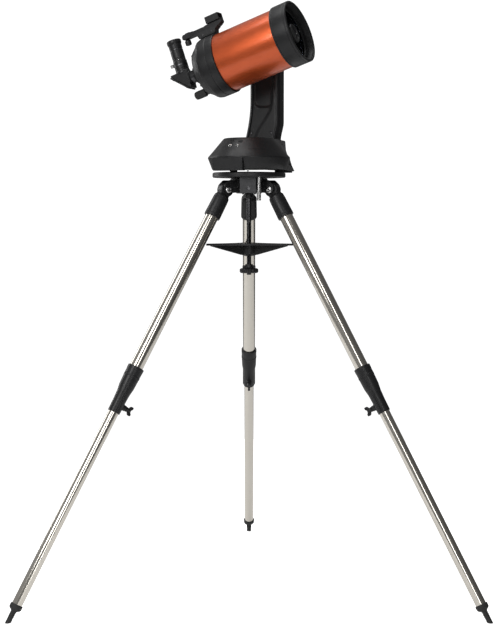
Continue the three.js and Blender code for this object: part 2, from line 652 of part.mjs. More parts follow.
function frontCell() {
  const lip = TUBE_RADIUS - TUBE_SHEET - GAP;
  const back = TUBE_FRONT + GAP;
  return alongX(turned([[62, 88], [lip, 88], [lip, back], [FRONT_CELL_RADIUS - 1.5, back],
    [FRONT_CELL_RADIUS, back + 1.5], [FRONT_CELL_RADIUS, FRONT_FACE], [70, FRONT_FACE],
    [69, CORRECTOR_SEAT], [62, CORRECTOR_SEAT], [62, 88]], LARGE_SIDES));
}

// The bell of the rear cell, with a raised ring round the visual back and a boss for the focus shaft.
function rearCell() {
  const lip = TUBE_RADIUS - TUBE_SHEET - GAP;
  const front = TUBE_BACK - GAP;
  const outside = [[22.4, REAR_FACE], [57, REAR_FACE], [62, -122], [67, -115], [75, -108],
    [REAR_CELL_RADIUS, -104], [REAR_CELL_RADIUS, front]];
  const inside = [[lip, front], [lip, -53], [66.5, -53], [70.5, -98], [63.6, -111.5], [54, -122],
    [22.4, -126.5], [22.4, REAR_FACE]];
  const bell = alongX(turned([...outside, ...inside], LARGE_SIDES));
  const step = REAR_FACE - 6.5;
  const raised = alongX(turned([[27, REAR_FACE + 1], [27, step], [40, step], [42, step + 2],
    [42, REAR_FACE + 1], [27, REAR_FACE + 1]], LARGE_SIDES));
  const boss = alongX(rod(8, REAR_FACE - 9, REAR_FACE + 2, SMALL_SIDES)).translate(0, FOCUS_Y, FOCUS_Z);
  const bore = alongX(rod(FOCUS_SHAFT + GAP, -145, -120, SMALL_SIDES)).translate(0, FOCUS_Y, FOCUS_Z);
  return carve([bell, raised, boss], [bore]);
}

// A spherical surface's height above its middle.
const sag = (radius, curvature) => curvature - Math.sqrt(curvature ** 2 - radius ** 2);

// The meniscus corrector: a deep curved shell of glass, hollow side to the front.
function corrector() {
  const steps = 4;
  const radii = Array.from({ length: steps + 1 }, (_, i) => (CORRECTOR_RADIUS * i) / steps);
  const front = radii.map((radius) => [radius, CORRECTOR_FRONT + sag(radius, CORRECTOR_FRONT_CURVE)]);
  const back = radii.map((radius) => [radius, CORRECTOR_BACK + sag(radius, CORRECTOR_BACK_CURVE)]);
  return alongX(turned([...back, ...front.reverse()], 24));
}

function primaryMirror() {
  const steps = 2;
  const hole = BAFFLE_RADIUS + 0.8;
  const face = Array.from({ length: steps + 1 }, (_, i) => {
    const radius = MIRROR_RADIUS - ((MIRROR_RADIUS - hole) * i) / steps;
    return [radius, MIRROR_BACK + MIRROR_THICKNESS + sag(radius, MIRROR_CURVE)];
  });
  return alongX(turned([[hole, MIRROR_BACK], [MIRROR_RADIUS, MIRROR_BACK], ...face,
    [hole, MIRROR_BACK]], 24));
}

function baffleTube() {
  const inner = BAFFLE_RADIUS - 1.6;
  const flange = BAFFLE_BACK + 3;
  return alongX(turned([[inner, BAFFLE_BACK], [21, BAFFLE_BACK], [21, flange], [BAFFLE_RADIUS, flange],
    [BAFFLE_RADIUS, BAFFLE_FRONT], [inner, BAFFLE_FRONT], [inner, BAFFLE_BACK]]));
}

function secondaryCell() {
  const [back, front] = [SECONDARY_BACK, SECONDARY_FRONT];
  return alongX(turned([[0, back], [SECONDARY_RADIUS, back], [SECONDARY_RADIUS, front - 2],
    [SECONDARY_RADIUS - 2, front], [SECONDARY_RADIUS - 6, front], [SECONDARY_RADIUS - 7, front - 4],
    [0, front - 4]], 20));
}

// The ring at the back that grips the diagonal's nose, with a hole for its thumbscrew.
function visualBack() {
  const bore = NOSE_RADIUS + GAP;
  const [end, seat] = [VISUAL_BACK_END, REAR_FACE - GAP];
  const body = alongX(turned([[bore, end], [VISUAL_BACK_RADIUS - 1, end], [VISUAL_BACK_RADIUS, end + 2],
    [VISUAL_BACK_RADIUS, seat - 5.7], [VISUAL_BACK_FLANGE, seat - 3.7], [VISUAL_BACK_FLANGE, seat],
    [bore, seat], [bore, end]], 20));
  const thread = rod(THUMBSCREW_RADIUS + GAP, 10, 30, SMALL_SIDES).translate(VISUAL_SCREW_X, 0, 0);
  return carve([body], [thread]);
}

// A thumbscrew up its own Z, with its thread in a wall whose outer face is at the given height.
function thumbscrew(tip, wall) {
  return turned([[0, tip], [THUMBSCREW_RADIUS, tip], [THUMBSCREW_RADIUS, wall + 2], [4.5, wall + 2],
    [4.5, wall + 9], [3.5, wall + 10], [0, wall + 10]], SMALL_SIDES);
}

// The star diagonal: a nose tube, an angled body and a holder for the eyepiece, bored right through.
function diagonalBody() {
  const half = DIAGONAL_HALF_WIDTH;
  const nose = alongX(rod(NOSE_RADIUS, NOSE_END - 3, -133, 20));
  const body = slab([[NOSE_END, 20], [NOSE_END, DIAGONAL_LOW[1]], DIAGONAL_LOW, DIAGONAL_HIGH,
    [DIAGONAL_HIGH[0], 20]], -half, half);
  const holder = rod(HOLDER_RADIUS, 18, HOLDER_TOP, 20).translate(EYEPIECE_X, 0, 0);
  const lightIn = alongX(rod(LIGHT_RADIUS, EYEPIECE_X, -132, SMALL_SIDES));
  const lightOut = rod(LIGHT_RADIUS, 0, 24, SMALL_SIDES).translate(EYEPIECE_X, 0, 0);
  const socket = rod(BARREL_RADIUS + GAP, 22, HOLDER_TOP + 1, 20).translate(EYEPIECE_X, 0, 0);
  const thread = alongX(rod(THUMBSCREW_RADIUS + GAP, -22, -12, SMALL_SIDES))
    .translate(EYEPIECE_X, 0, HOLDER_SCREW_Z);
  return carve([nose, body, holder], [lightIn, lightOut, socket, thread]);
}

// The plate that carries the flat mirror, closing the slanted side of the diagonal.
function diagonalPlate() {
  const [high, low] = [DIAGONAL_HIGH, DIAGONAL_LOW];
  const slope = [low[0] - high[0], low[1] - high[1]];
  const length = Math.hypot(...slope);
  const [outX, outZ] = [slope[1] / length, -slope[0] / length];
  const edge = (x, z, out) => [x + outX * out, z + outZ * out];
  return slab([edge(...high, GAP), edge(...low, GAP), edge(...low, 4), edge(...high, 4)],
    -DIAGONAL_HALF_WIDTH - 1, DIAGONAL_HALF_WIDTH + 1);
}

function eyepiece() {
  const seat = HOLDER_TOP + GAP;
  const top = EYEPIECE_TOP;
  return turned([[0, 25], [BARREL_RADIUS, 25], [BARREL_RADIUS, seat], [EYEPIECE_RADIUS, seat],
    [EYEPIECE_RADIUS, top - 11], [EYEPIECE_CAP, top - 8], [EYEPIECE_CAP, top], [13, top],
    [10, top - 5], [0, top - 5]], 20);
}

// The focus knob with the shaft that runs in to the mirror carrier.
function focusKnob() {
  const end = -173;
  const front = -141;
  return alongX(turned([[0, end], [6, end], [9.4, end + 3], [FOCUS_RADIUS, end + 8], [FOCUS_RADIUS, front],
    [FOCUS_SHAFT, front], [FOCUS_SHAFT, -113], [0, -113]], SMALL_SIDES))
    .translate(0, FOCUS_Y, FOCUS_Z);
}

function finderBar() {
  const half = 10;
  const bar = block([FINDER_BACK, -half, FINDER_BOTTOM], [FINDER_FRONT, half, FINDER_TOP]);
  const foot = block([-110, -12, REAR_CELL_RADIUS + 1], [-64, 12, FINDER_BOTTOM + 1]);
  return carve([bar, foot]);
}

function finderHood() {
  const outer = block([HOOD_BACK, -14, FINDER_TOP + GAP], [HOOD_FRONT, 14, HOOD_TOP]);
  return carve([outer], [block([HOOD_BACK - 1, -11, FINDER_TOP + 4], [HOOD_FRONT + 1, 11, HOOD_TOP - 3])]);
}

function buildOpticalTube(parent) {
  add(parent, 'saddle', saddle(), blackCasting);
  const gear = alongY(ring(SHAFT_RADIUS + GAP, 28, 98, 105));
  add(parent, 'altitude_gear', gear, brass);
  const sheet = alongX(ring(TUBE_RADIUS - TUBE_SHEET, TUBE_RADIUS, TUBE_BACK, TUBE_FRONT, LARGE_SIDES));
  add(parent, 'tube', sheet, orange);
  add(parent, 'front_cell', frontCell(), blackPlastic);
  add(parent, 'retaining_ring', alongX(ring(60, 68.5, 118.8, 122.5, 24)), blackCasting);
  add(parent, 'corrector_lens', corrector(), glass);
  add(parent, 'secondary_cell', secondaryCell(), blackCasting);
  add(parent, 'rear_cell', rearCell(), blackPlastic);
  add(parent, 'baffle_tube', baffleTube(), blackCasting);
  add(parent, 'primary_mirror', primaryMirror(), mirror);
  add(parent, 'focus_knob', focusKnob(), rubber);
  add(parent, 'visual_back', visualBack(), blackCasting);
  const screw = thumbscrew(18, VISUAL_BACK_RADIUS);
  add(parent, 'visual_screw', screw, chrome).position.x = VISUAL_SCREW_X;
  add(parent, 'diagonal', diagonalBody(), blackPlastic);
  add(parent, 'diagonal_plate', diagonalPlate(), blackPlastic);
  const holderScrew = place(parent, [EYEPIECE_X, 0, HOLDER_SCREW_Z], 'y', -Math.PI / 2);
  add(holderScrew, 'diagonal_screw', thumbscrew(16.6, HOLDER_RADIUS), chrome);
  add(parent, 'eyepiece', eyepiece(), blackPlastic).position.x = EYEPIECE_X;
  add(parent, 'finder_bar', finderBar(), blackPlastic);
  add(parent, 'finder_hood', finderHood(), blackPlastic);
  const dial = rod(DIAL_RADIUS, 77, FINDER_BOTTOM - GAP, 12);
  add(parent, 'finder_dial', dial, blackPlastic).position.x = FINDER_BACK + 9;
}

// --- The whole telescope, its azimuth axis set back so that the footprint is centred ---

const telescope = place(model, [0, -FOOT_RADIUS / 4, 0]);
buildTripod(telescope);
buildTopPlate(telescope);
buildMount(telescope);

export default model;
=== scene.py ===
# Looks for the telescope: every piece is built here in millimetres, in the frame of the CAD body that
# carries it, and placed by that body's joints.
import json
import math

import bmesh
import bpy
from mathutils import Matrix, Vector


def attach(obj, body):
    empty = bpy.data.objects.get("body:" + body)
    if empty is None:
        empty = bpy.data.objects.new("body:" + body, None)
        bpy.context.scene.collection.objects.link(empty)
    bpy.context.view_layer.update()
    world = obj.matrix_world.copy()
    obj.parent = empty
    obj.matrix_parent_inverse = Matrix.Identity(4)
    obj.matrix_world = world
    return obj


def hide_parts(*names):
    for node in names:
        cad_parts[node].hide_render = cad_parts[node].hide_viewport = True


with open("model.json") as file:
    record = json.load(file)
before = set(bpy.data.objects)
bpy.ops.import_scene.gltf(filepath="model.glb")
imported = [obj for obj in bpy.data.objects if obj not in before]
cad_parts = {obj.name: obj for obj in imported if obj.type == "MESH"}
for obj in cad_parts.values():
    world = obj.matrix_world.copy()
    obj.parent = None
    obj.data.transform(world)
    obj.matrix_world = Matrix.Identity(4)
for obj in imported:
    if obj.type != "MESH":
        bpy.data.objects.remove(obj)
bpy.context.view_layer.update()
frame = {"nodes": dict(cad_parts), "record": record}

MM = 0.001

# Camera: nearly level, a little under the middle of the tripod, with a long lens
CAMERA_LENS = 80.87
CAMERA_DISTANCE = 3.470  # from the tripod's centre line
CAMERA_HEIGHT = 0.9155
CAMERA_PITCH = math.radians(-3.984)

# Soft boxes: name, place from the middle of the telescope in metres, width, height, watts
SOFT_BOXES = [("key", (-1.7, -2.6, 1.5), 0.9, 2.2, 52), ("strip", (0.5, -3.4, 0.6), 0.35, 3.0, 22),
    ("top", (-0.3, 0.3, 2.6), 2.4, 1.6, 40), ("edge", (-2.6, 1.6, 1.0), 0.7, 2.4, 22),]
ROOM_LEFT = 0.42  # brightness of the surround in reflections, by direction
ROOM_RIGHT = 0.10
ROOM_LOW = 0.55
ROOM_HIGH = 1.0
PAPER_GLOW = 0.85
PAPER_GLOW_REFLECTED = 0.12
PAPER_RADIUS = 2.2
BACKDROP = 1.1  # the white behind everything

LARGE_SIDES = 128  # steps round a turned piece, by its size
SIDES = 64
SMALL_SIDES = 32


# --- Frames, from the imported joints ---

JOINTS = {joint["name"]: joint for joint in frame["record"]["behaviour"]["joints"]}


def joint_point(name):
    return Vector(JOINTS[name]["pos_m"])


def joint_axis(name):
    return Vector(JOINTS[name]["axis"]).normalized()


def axes(origin, x, y, z):
    """A frame in metres whose own units are millimetres."""
    turn = Matrix((x, y, z)).transposed().to_4x4()
    return Matrix.Translation(origin) @ turn @ Matrix.Scale(MM, 4)


UP = Vector((0, 0, 1))
CENTRE = joint_point("azimuth").xy.to_3d()
ARM_SIDE = -joint_axis("altitude")
HEADING = ARM_SIDE.cross(UP)
OPTICAL = joint_axis("focus_turn")

TRIPOD = axes(CENTRE, Vector((1, 0, 0)), Vector((0, 1, 0)), UP)
MOUNT = axes(CENTRE, HEADING, ARM_SIDE, UP)
TUBE = axes(joint_point("altitude"), OPTICAL, ARM_SIDE, OPTICAL.cross(ARM_SIDE))
LEG_NAMES = ("left", "right", "back")


def leg_frame(name):
    """Origin at the hinge, Z up the leg, X on its outer side."""
    up = joint_axis(f"leg_{name}_extend")
    across = joint_axis(f"leg_{name}_fold")
    return axes(joint_point(f"leg_{name}_fold"), across.cross(up), across, up)


def turned_about(place, axis, degrees, offset=(0, 0, 0)):
    """The same frame moved by an offset in its own millimetres, then turned about one of its axes."""
    return place @ Matrix.Translation(offset) @ Matrix.Rotation(math.radians(degrees), 4, axis)


ALONG_X = Matrix.Rotation(math.radians(90), 4, "Y")  # takes Z to X
ALONG_Y = Matrix.Rotation(math.radians(-90), 4, "X")  # takes Z to Y
SIDE_ON = Matrix.Rotation(math.radians(90), 4, "X")  # takes Y to Z, for an outline in X and height
BACKWARDS = Matrix.Rotation(math.radians(-90), 4, "Y")  # takes Z to -X
UPSIDE_DOWN = Matrix.Rotation(math.pi, 4, "X")


# --- Materials ---

def node_material(name, color, roughness, metallic=0.0):
    material = bpy.data.materials.new(name)
    material.use_nodes = True
    shader = material.node_tree.nodes["Principled BSDF"]
    shader.inputs["Base Color"].default_value = (*color, 1)
    shader.inputs["Roughness"].default_value = roughness
    shader.inputs["Metallic"].default_value = metallic
    return material, shader


def link(material, source, socket):
    material.node_tree.links.new(source, socket)


def noise(material, scale, detail=4.0, stretch=None):
    """Noise in object space, in cycles per metre, drawn out along an axis when stretch is given."""
    nodes = material.node_tree.nodes
    place = nodes.new("ShaderNodeTexCoord").outputs["Object"]
    if stretch:
        mapping = nodes.new("ShaderNodeMapping")
        mapping.inputs["Scale"].default_value = stretch
        link(material, place, mapping.inputs["Vector"])
        place = mapping.outputs["Vector"]
    texture = nodes.new("ShaderNodeTexNoise")
    texture.inputs["Scale"].default_value = scale
    texture.inputs["Detail"].default_value = detail
    link(material, place, texture.inputs["Vector"])
    return texture.outputs["Fac"]


def spread(material, value, low, high, start=0.3, end=0.7):
    """Maps a value from the range start to end, which holds most of a noise, to the range low to high."""
    mapper = material.node_tree.nodes.new("ShaderNodeMapRange")
    mapper.inputs["From Min"].default_value = start
    mapper.inputs["From Max"].default_value = end
    mapper.inputs["To Min"].default_value = low
    mapper.inputs["To Max"].default_value = high
    link(material, value, mapper.inputs["Value"])
    return mapper.outputs["Result"]


def shade(material, shader, value, dark, light):
    """Base colour that wanders between two colours."""
    mix = material.node_tree.nodes.new("ShaderNodeMix")
    mix.data_type = "RGBA"
    mix.inputs["A"].default_value = (*dark, 1)
    mix.inputs["B"].default_value = (*light, 1)
    link(material, value, mix.inputs["Factor"])
    link(material, mix.outputs["Result"], shader.inputs["Base Color"])


def bump(material, shader, value, strength, depth):
    node = material.node_tree.nodes.new("ShaderNodeBump")
    node.inputs["Strength"].default_value = strength
    node.inputs["Distance"].default_value = depth
    link(material, value, node.inputs["Height"])
    link(material, node.outputs["Normal"], shader.inputs["Normal"])


def moulded_plastic(name, color, roughness, grain=1400):
    """Satin moulded plastic: a fine even grain, and faint broad changes of gloss."""
    material, shader = node_material(name, color, roughness)
    shader.inputs["Specular IOR Level"].default_value = 0.30
    light = tuple(channel * 1.35 for channel in color)
    shade(material, shader, noise(material, 30), color, light)
    link(material, spread(material, noise(material, 55), roughness - 0.05, roughness + 0.07),
        shader.inputs["Roughness"])
    bump(material, shader, noise(material, grain, 2), 0.25, 0.0002)
    return material


def cast_metal(name, color, roughness):
    """Powder-coated casting: a coarser orange-peel grain than plastic."""
    material, shader = node_material(name, color, roughness, 0.15)
    shader.inputs["Specular IOR Level"].default_value = 0.35
    shader.inputs["Coat Weight"].default_value = 0.12
    shader.inputs["Coat Roughness"].default_value = 0.35
    light = tuple(channel * 1.6 for channel in color)
    shade(material, shader, noise(material, 90), color, light)
    bump(material, shader, noise(material, 700, 3), 0.45, 0.0003)
    return material


def polished_steel(name, color, roughness, stretch=(1, 1, 1)):
    """Bright tube: drawn along its length, with faint streaks in its gloss and tint."""
    material, shader = node_material(name, color, roughness, 1.0)
    streak = noise(material, 12, 1, stretch)
    warm = (color[0] * 0.95, color[1] * 0.94, color[2] * 0.92)
    shade(material, shader, streak, warm, color)
    link(material, spread(material, streak, roughness - 0.01, roughness + 0.02), shader.inputs["Roughness"])
    return material


def metallic_paint():
    """Burnt orange metallic paint under clear lacquer, with fine flake."""
    orange, deep = (0.62, 0.105, 0.024), (0.50, 0.075, 0.016)
    material, shader = node_material("orange_paint", orange, 0.36, 0.72)
    shader.inputs["Coat Weight"].default_value = 0.45
    shader.inputs["Coat Roughness"].default_value = 0.16
    shade(material, shader, noise(material, 2600, 2), deep, orange)
    link(material, spread(material, noise(material, 40), 0.33, 0.40), shader.inputs["Roughness"])
    bump(material, shader, noise(material, 3200, 1), 0.10, 0.00008)
    return material


def coated_glass(name, tint):
    material, shader = node_material(name, tint, 0.02)
    shader.inputs["Transmission Weight"].default_value = 1.0
    shader.inputs["IOR"].default_value = 1.18
    shader.inputs["Coat Weight"].default_value = 0.15
    shader.inputs["Coat Tint"].default_value = (0.75, 0.8, 1.0, 1)
    bump(material, shader, noise(material, 25), 0.02, 0.0001)
    return material


def soft_rubber(name, color):
    material, shader = node_material(name, color, 0.72)
    light = tuple(channel * 1.5 for channel in color)
    shade(material, shader, noise(material, 120), color, light)
    bump(material, shader, noise(material, 900, 3), 0.4, 0.0003)
    return material


BLACK = moulded_plastic("black_plastic", (0.0105, 0.0105, 0.0112), 0.36)
BLACK_SOFT = moulded_plastic("black_plastic_soft", (0.009, 0.009, 0.0096), 0.48)
MATTE = moulded_plastic("matte_black", (0.006, 0.006, 0.006), 0.75)
CASTING = cast_metal("black_casting", (0.0095, 0.0095, 0.010), 0.42)
GREY_CASTING = cast_metal("grey_casting", (0.030, 0.030, 0.032), 0.5)
STEEL = polished_steel("steel_tube", (0.66, 0.63, 0.575), 0.13)
CHROME = polished_steel("chrome", (0.62, 0.62, 0.62), 0.12)
DARK_METAL = polished_steel("dark_metal", (0.08, 0.08, 0.085), 0.3)
BRASS = polished_steel("brass", (0.60, 0.42, 0.18), 0.3)
ORANGE = metallic_paint()
GLASS = coated_glass("coated_glass", (0.86, 0.90, 0.96))
MIRROR = polished_steel("mirror_glass", (0.90, 0.90, 0.92), 0.05)
RUBBER = soft_rubber("rubber", (0.012, 0.012, 0.012))
BOARD = moulded_plastic("board_green", (0.02, 0.12, 0.05), 0.5)


# --- Shapes ---

class Body:
    """Where new pieces go: a frame, and the CAD body that they ride on."""

    def __init__(self, place, body):
        self.place = place
        self.body = body

    def at(self, offset, axis="X", degrees=0.0):
        return Body(turned_about(self.place, axis, degrees, offset), self.body)

    def along(self, turn):
        return Body(self.place @ turn, self.body)

    def piece(self, name, points, faces, material, nodes=(), bevel=0.0, sharp=35):
        """A mesh from points in millimetres. It stands for the named CAD nodes."""
        mesh = bpy.data.meshes.new(name)
        mesh.from_pydata([self.place @ Vector(point) for point in points], [], faces)
        work = bmesh.new()
        work.from_mesh(mesh)
        bmesh.ops.remove_doubles(work, verts=work.verts, dist=1e-6)
        bmesh.ops.recalc_face_normals(work, faces=work.faces)
        work.to_mesh(mesh)
        work.free()
        mesh.materials.append(material)
        mesh.shade_smooth()
        mesh.set_sharp_from_angle(angle=math.radians(sharp))
        piece = bpy.data.objects.new(name, mesh)
        bpy.context.collection.objects.link(piece)
        if bevel:
            modifier = piece.modifiers.new("edges", "BEVEL")
            modifier.width = bevel * MM
            modifier.segments = 3
            modifier.limit_method = "ANGLE"
            modifier.angle_limit = math.radians(30)
            modifier.harden_normals = True
        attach(piece, self.body)
        if nodes:
            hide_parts(*nodes)
        return piece


def fillet(outline, radius, closed=False, steps=5):
    """Rounds an outline's corners. A point is (a, b), or (a, b, its own radius)."""
    result = []
    count = len(outline)
    for i, point in enumerate(outline):
        here = Vector(point[:2])
        size = point[2] if len(point) > 2 else radius
        if not closed and i in (0, count - 1):
            result.append(here)
            continue
        before = Vector(outline[i - 1][:2]) - here
        after = Vector(outline[(i + 1) % count][:2]) - here
        if size <= 0 or before.length < 1e-6 or after.length < 1e-6:
            result.append(here)
            continue
        angle = before.angle(after)
        if angle > math.radians(172):
            result.append(here)
            continue
        cut = min(size / math.tan(angle / 2), before.length * 0.48, after.length * 0.48)
        start = here + before.normalized() * cut
        end = here + after.normalized() * cut
        for step in range(steps + 1):
            t = step / steps
            result.append(start.lerp(here, t).lerp(here.lerp(end, t), t))
    return [(point.x, point.y) for point in result]


def ring_faces(rows, columns, close_rows=False):
    """Quads over a grid of points whose rows close on themselves."""
    faces = []
    for row in range(rows if close_rows else rows - 1):
        below, above = row * columns, ((row + 1) % rows) * columns
        for column in range(columns):
            beside = (column + 1) % columns
            faces.append((below + column, below + beside, above + beside, above + column))
    return faces


def rectangle(left, right, low, high):
    return [(left, low), (right, low), (right, high), (left, high)]


def lathe(body, name, profile, material, nodes=(), sides=SIDES, closed=False, rounding=0.6, wave=None,
        **more):
    """Turns a profile of (radius, height) about Z. wave(angle, radius, height) changes a point's radius."""
    outline = fillet(profile, rounding, closed)
    points = []
    for radius, height in outline:
        for column in range(sides):
            angle = 2 * math.pi * column / sides
            reach = wave(angle, radius, height) if wave else radius
            points.append((reach * math.cos(angle), reach * math.sin(angle), height))
    faces = ring_faces(len(outline), sides, closed)
    return body.piece(name, points, faces, material, nodes, **more)


def hoop(body, name, profile, material, nodes=(), sides=LARGE_SIDES, rounding=0.3, wave=None):
    """A turned piece whose profile is a closed loop, such as a ring or a sleeve."""
    return lathe(body, name, profile, material, nodes, sides, True, rounding, wave)


def prism(body, name, outline, low, high, material, nodes=(), bevel=0.8, rounding=0.0, steps=5, **more):
    """An outline in X and Y, thick from low to high in Z, its corners rounded and edges bevelled."""
    flat = fillet(outline, rounding, True, steps) if rounding else [point[:2] for point in outline]
    count = len(flat)
    points = [(x, y, low) for x, y in flat] + [(x, y, high) for x, y in flat]
    faces = [tuple(range(count)), tuple(range(count, 2 * count))] + ring_faces(2, count)
    return body.piece(name, points, faces, material, nodes, bevel, **more)


def block(body, name, low, high, material, nodes=(), bevel=0.8, rounding=0.0, **more):
    """A rounded block between two corners."""
    outline = rectangle(low[0], high[0], low[1], high[1])
    return prism(body, name, outline, low[2], high[2], material, nodes, bevel, rounding, **more)


def skin(body, name, rings, material, nodes=(), cap_low=True, cap_high=True, **more):
    """A surface over rings of points that correspond."""
    count = len(rings[0])
    points = [point for ring in rings for point in ring]
    faces = ring_faces(len(rings), count)
    last = (len(rings) - 1) * count
    if cap_low:
        faces.append(tuple(range(count)))
    if cap_high:
        faces.append(tuple(range(last, last + count)))
    return body.piece(name, points, faces, material, nodes, **more)


def threaded_rod(body, name, radius, pitch, low, high, material, nodes=(), sides=24):
    """A rod with a helical thread and chamfered ends."""
    depth = 0.55 * pitch
    steps = max(2, int((high - low) / pitch * 6))
    points = []
    for step in range(steps + 1):
        height = low + (high - low) * step / steps
        end = min(height - low, high - height)
        for column in range(sides):
            share = column / sides
            ridge = abs(((height / pitch - share) % 1.0) * 2 - 1)
            reach = min(radius - depth * ridge, radius - depth + end)
            angle = 2 * math.pi * share
            points.append((reach * math.cos(angle), reach * math.sin(angle), height))
    faces = ring_faces(steps + 1, sides)
    last = steps * sides
    faces.append(tuple(range(sides)))
    faces.append(tuple(range(last, last + sides)))
    return body.piece(name, points, faces, material, nodes, sharp=70)


def flutes(count, depth, low, high, sharpness=1.0):
    """A wave that cuts grooves along a turned piece between two heights."""
    def wave(angle, radius, height):
        if not low <= height <= high:
            return radius
        groove = (0.5 - 0.5 * math.cos(count * angle)) ** sharpness
        return radius - depth * groove
    return wave


def cap_screw(body, name, radius, material=DARK_METAL):
    """A pan-head screw standing on Z = 0, its crossed slot drawn as two dark matte bars on the head:
    painted shade where a real slot is only shadowed metal.
    """
    lathe(body, name, [(0, 0), (radius, 0), (radius, radius * 0.35, radius * 0.3), (0, radius * 0.6)],
        material, sides=20, rounding=0.2)
    # The slot bars are painted shade: flat black standing on the head, not a cut.
    for turn in (0, 90):
        block(body.at((0, 0, 0), "Z", turn), f"{name}_slot_{turn}", (-radius * 0.6, -radius * 0.12,
            radius * 0.5), (radius * 0.6, radius * 0.12, radius * 0.62), MATTE, bevel=0)


# --- Tripod ---

HEAD = Body(TRIPOD, "head")
HINGE_HEIGHT = joint_point("leg_back_fold").z / MM
LEG_AZIMUTHS = {"left": 210, "right": 330, "back": 90}
FOOT_RADIUS = 6.25
FOOT_TOP = -1106.0  # along the leg from its hinge


def tripod_head():
    bottom, top = 973, 1009.5
    lathe(HEAD, "head_hub", [(6.5, bottom), (30, bottom), (36, bottom + 5), (45.5, bottom + 9),
        (45.5, top - 2), (43, top), (6.5, top)], CASTING, ["tripod_head"], LARGE_SIDES, rounding=1.5)
    for name in LEG_NAMES:
        side = HEAD.at((0, 0, 0), "Z", LEG_AZIMUTHS[name])
        for sign in (-1, 1):
            lug = side.at((0, sign * 14.9, 0)).along(SIDE_ON)
            outline = [(34, bottom + 1), (58, bottom + 1), (67, 970.5, 8), (77, 979, 9), (77, 992, 9),
                (64, 1004.5, 8), (34, 1004.5)]
            prism(lug, f"head_lug_{name}_{sign}", outline, -2.5, 2.5, CASTING, bevel=0.9, rounding=2)
            rib = side.at((0, sign * 21, 0)).along(SIDE_ON)
            prism(rib, f"head_rib_{name}_{sign}", [(36, 985), (46, 985), (40, 1004), (36, 1004)], -3, 3,
                CASTING)
        bolt = Body(leg_frame(name), "head").along(ALONG_Y)
        lathe(bolt, f"leg_{name}_bolt_shank", rectangle(0, 4, -22, 22), CHROME, [f"leg_{name}_bolt"],
            SMALL_SIDES)
        for sign in (-1, 1):
            cap = bolt.at((0, 0, sign * 17.8), "X", 0 if sign > 0 else 180)
            lathe(cap, f"leg_{name}_bolt_head_{sign}", [(3, 0), (7.4, 0), (7.4, 0.8), (6.4, 1.2),
                (6.4, 4.4, 0.8), (3.2, 5), (3, 3), (0, 3)], CHROME, sides=48, rounding=0.3)
    tongue = HEAD.at((-2.5, 0, 0)).along(Matrix.Rotation(math.radians(90), 4, "Y"))
    prism(tongue, "head_tongue", [(-978.5, -44), (-989.5, -44), (-989.5, -61, 5), (-984, -66.5, 5),
        (-978.5, -61, 5)], -5.5, 5.5, CASTING, bevel=0.5)
    threaded_rod(HEAD, "rod_thread", 6, 1.75, 775, 905, DARK_METAL, ["center_rod"])
    lathe(HEAD, "rod_shank", rectangle(0, 5.8, 903, 975), DARK_METAL, sides=SMALL_SIDES)
    hoop(HEAD, "rod_collar", rectangle(6, 11, 962, 972.5), CASTING, sides=SMALL_SIDES, rounding=0.6)


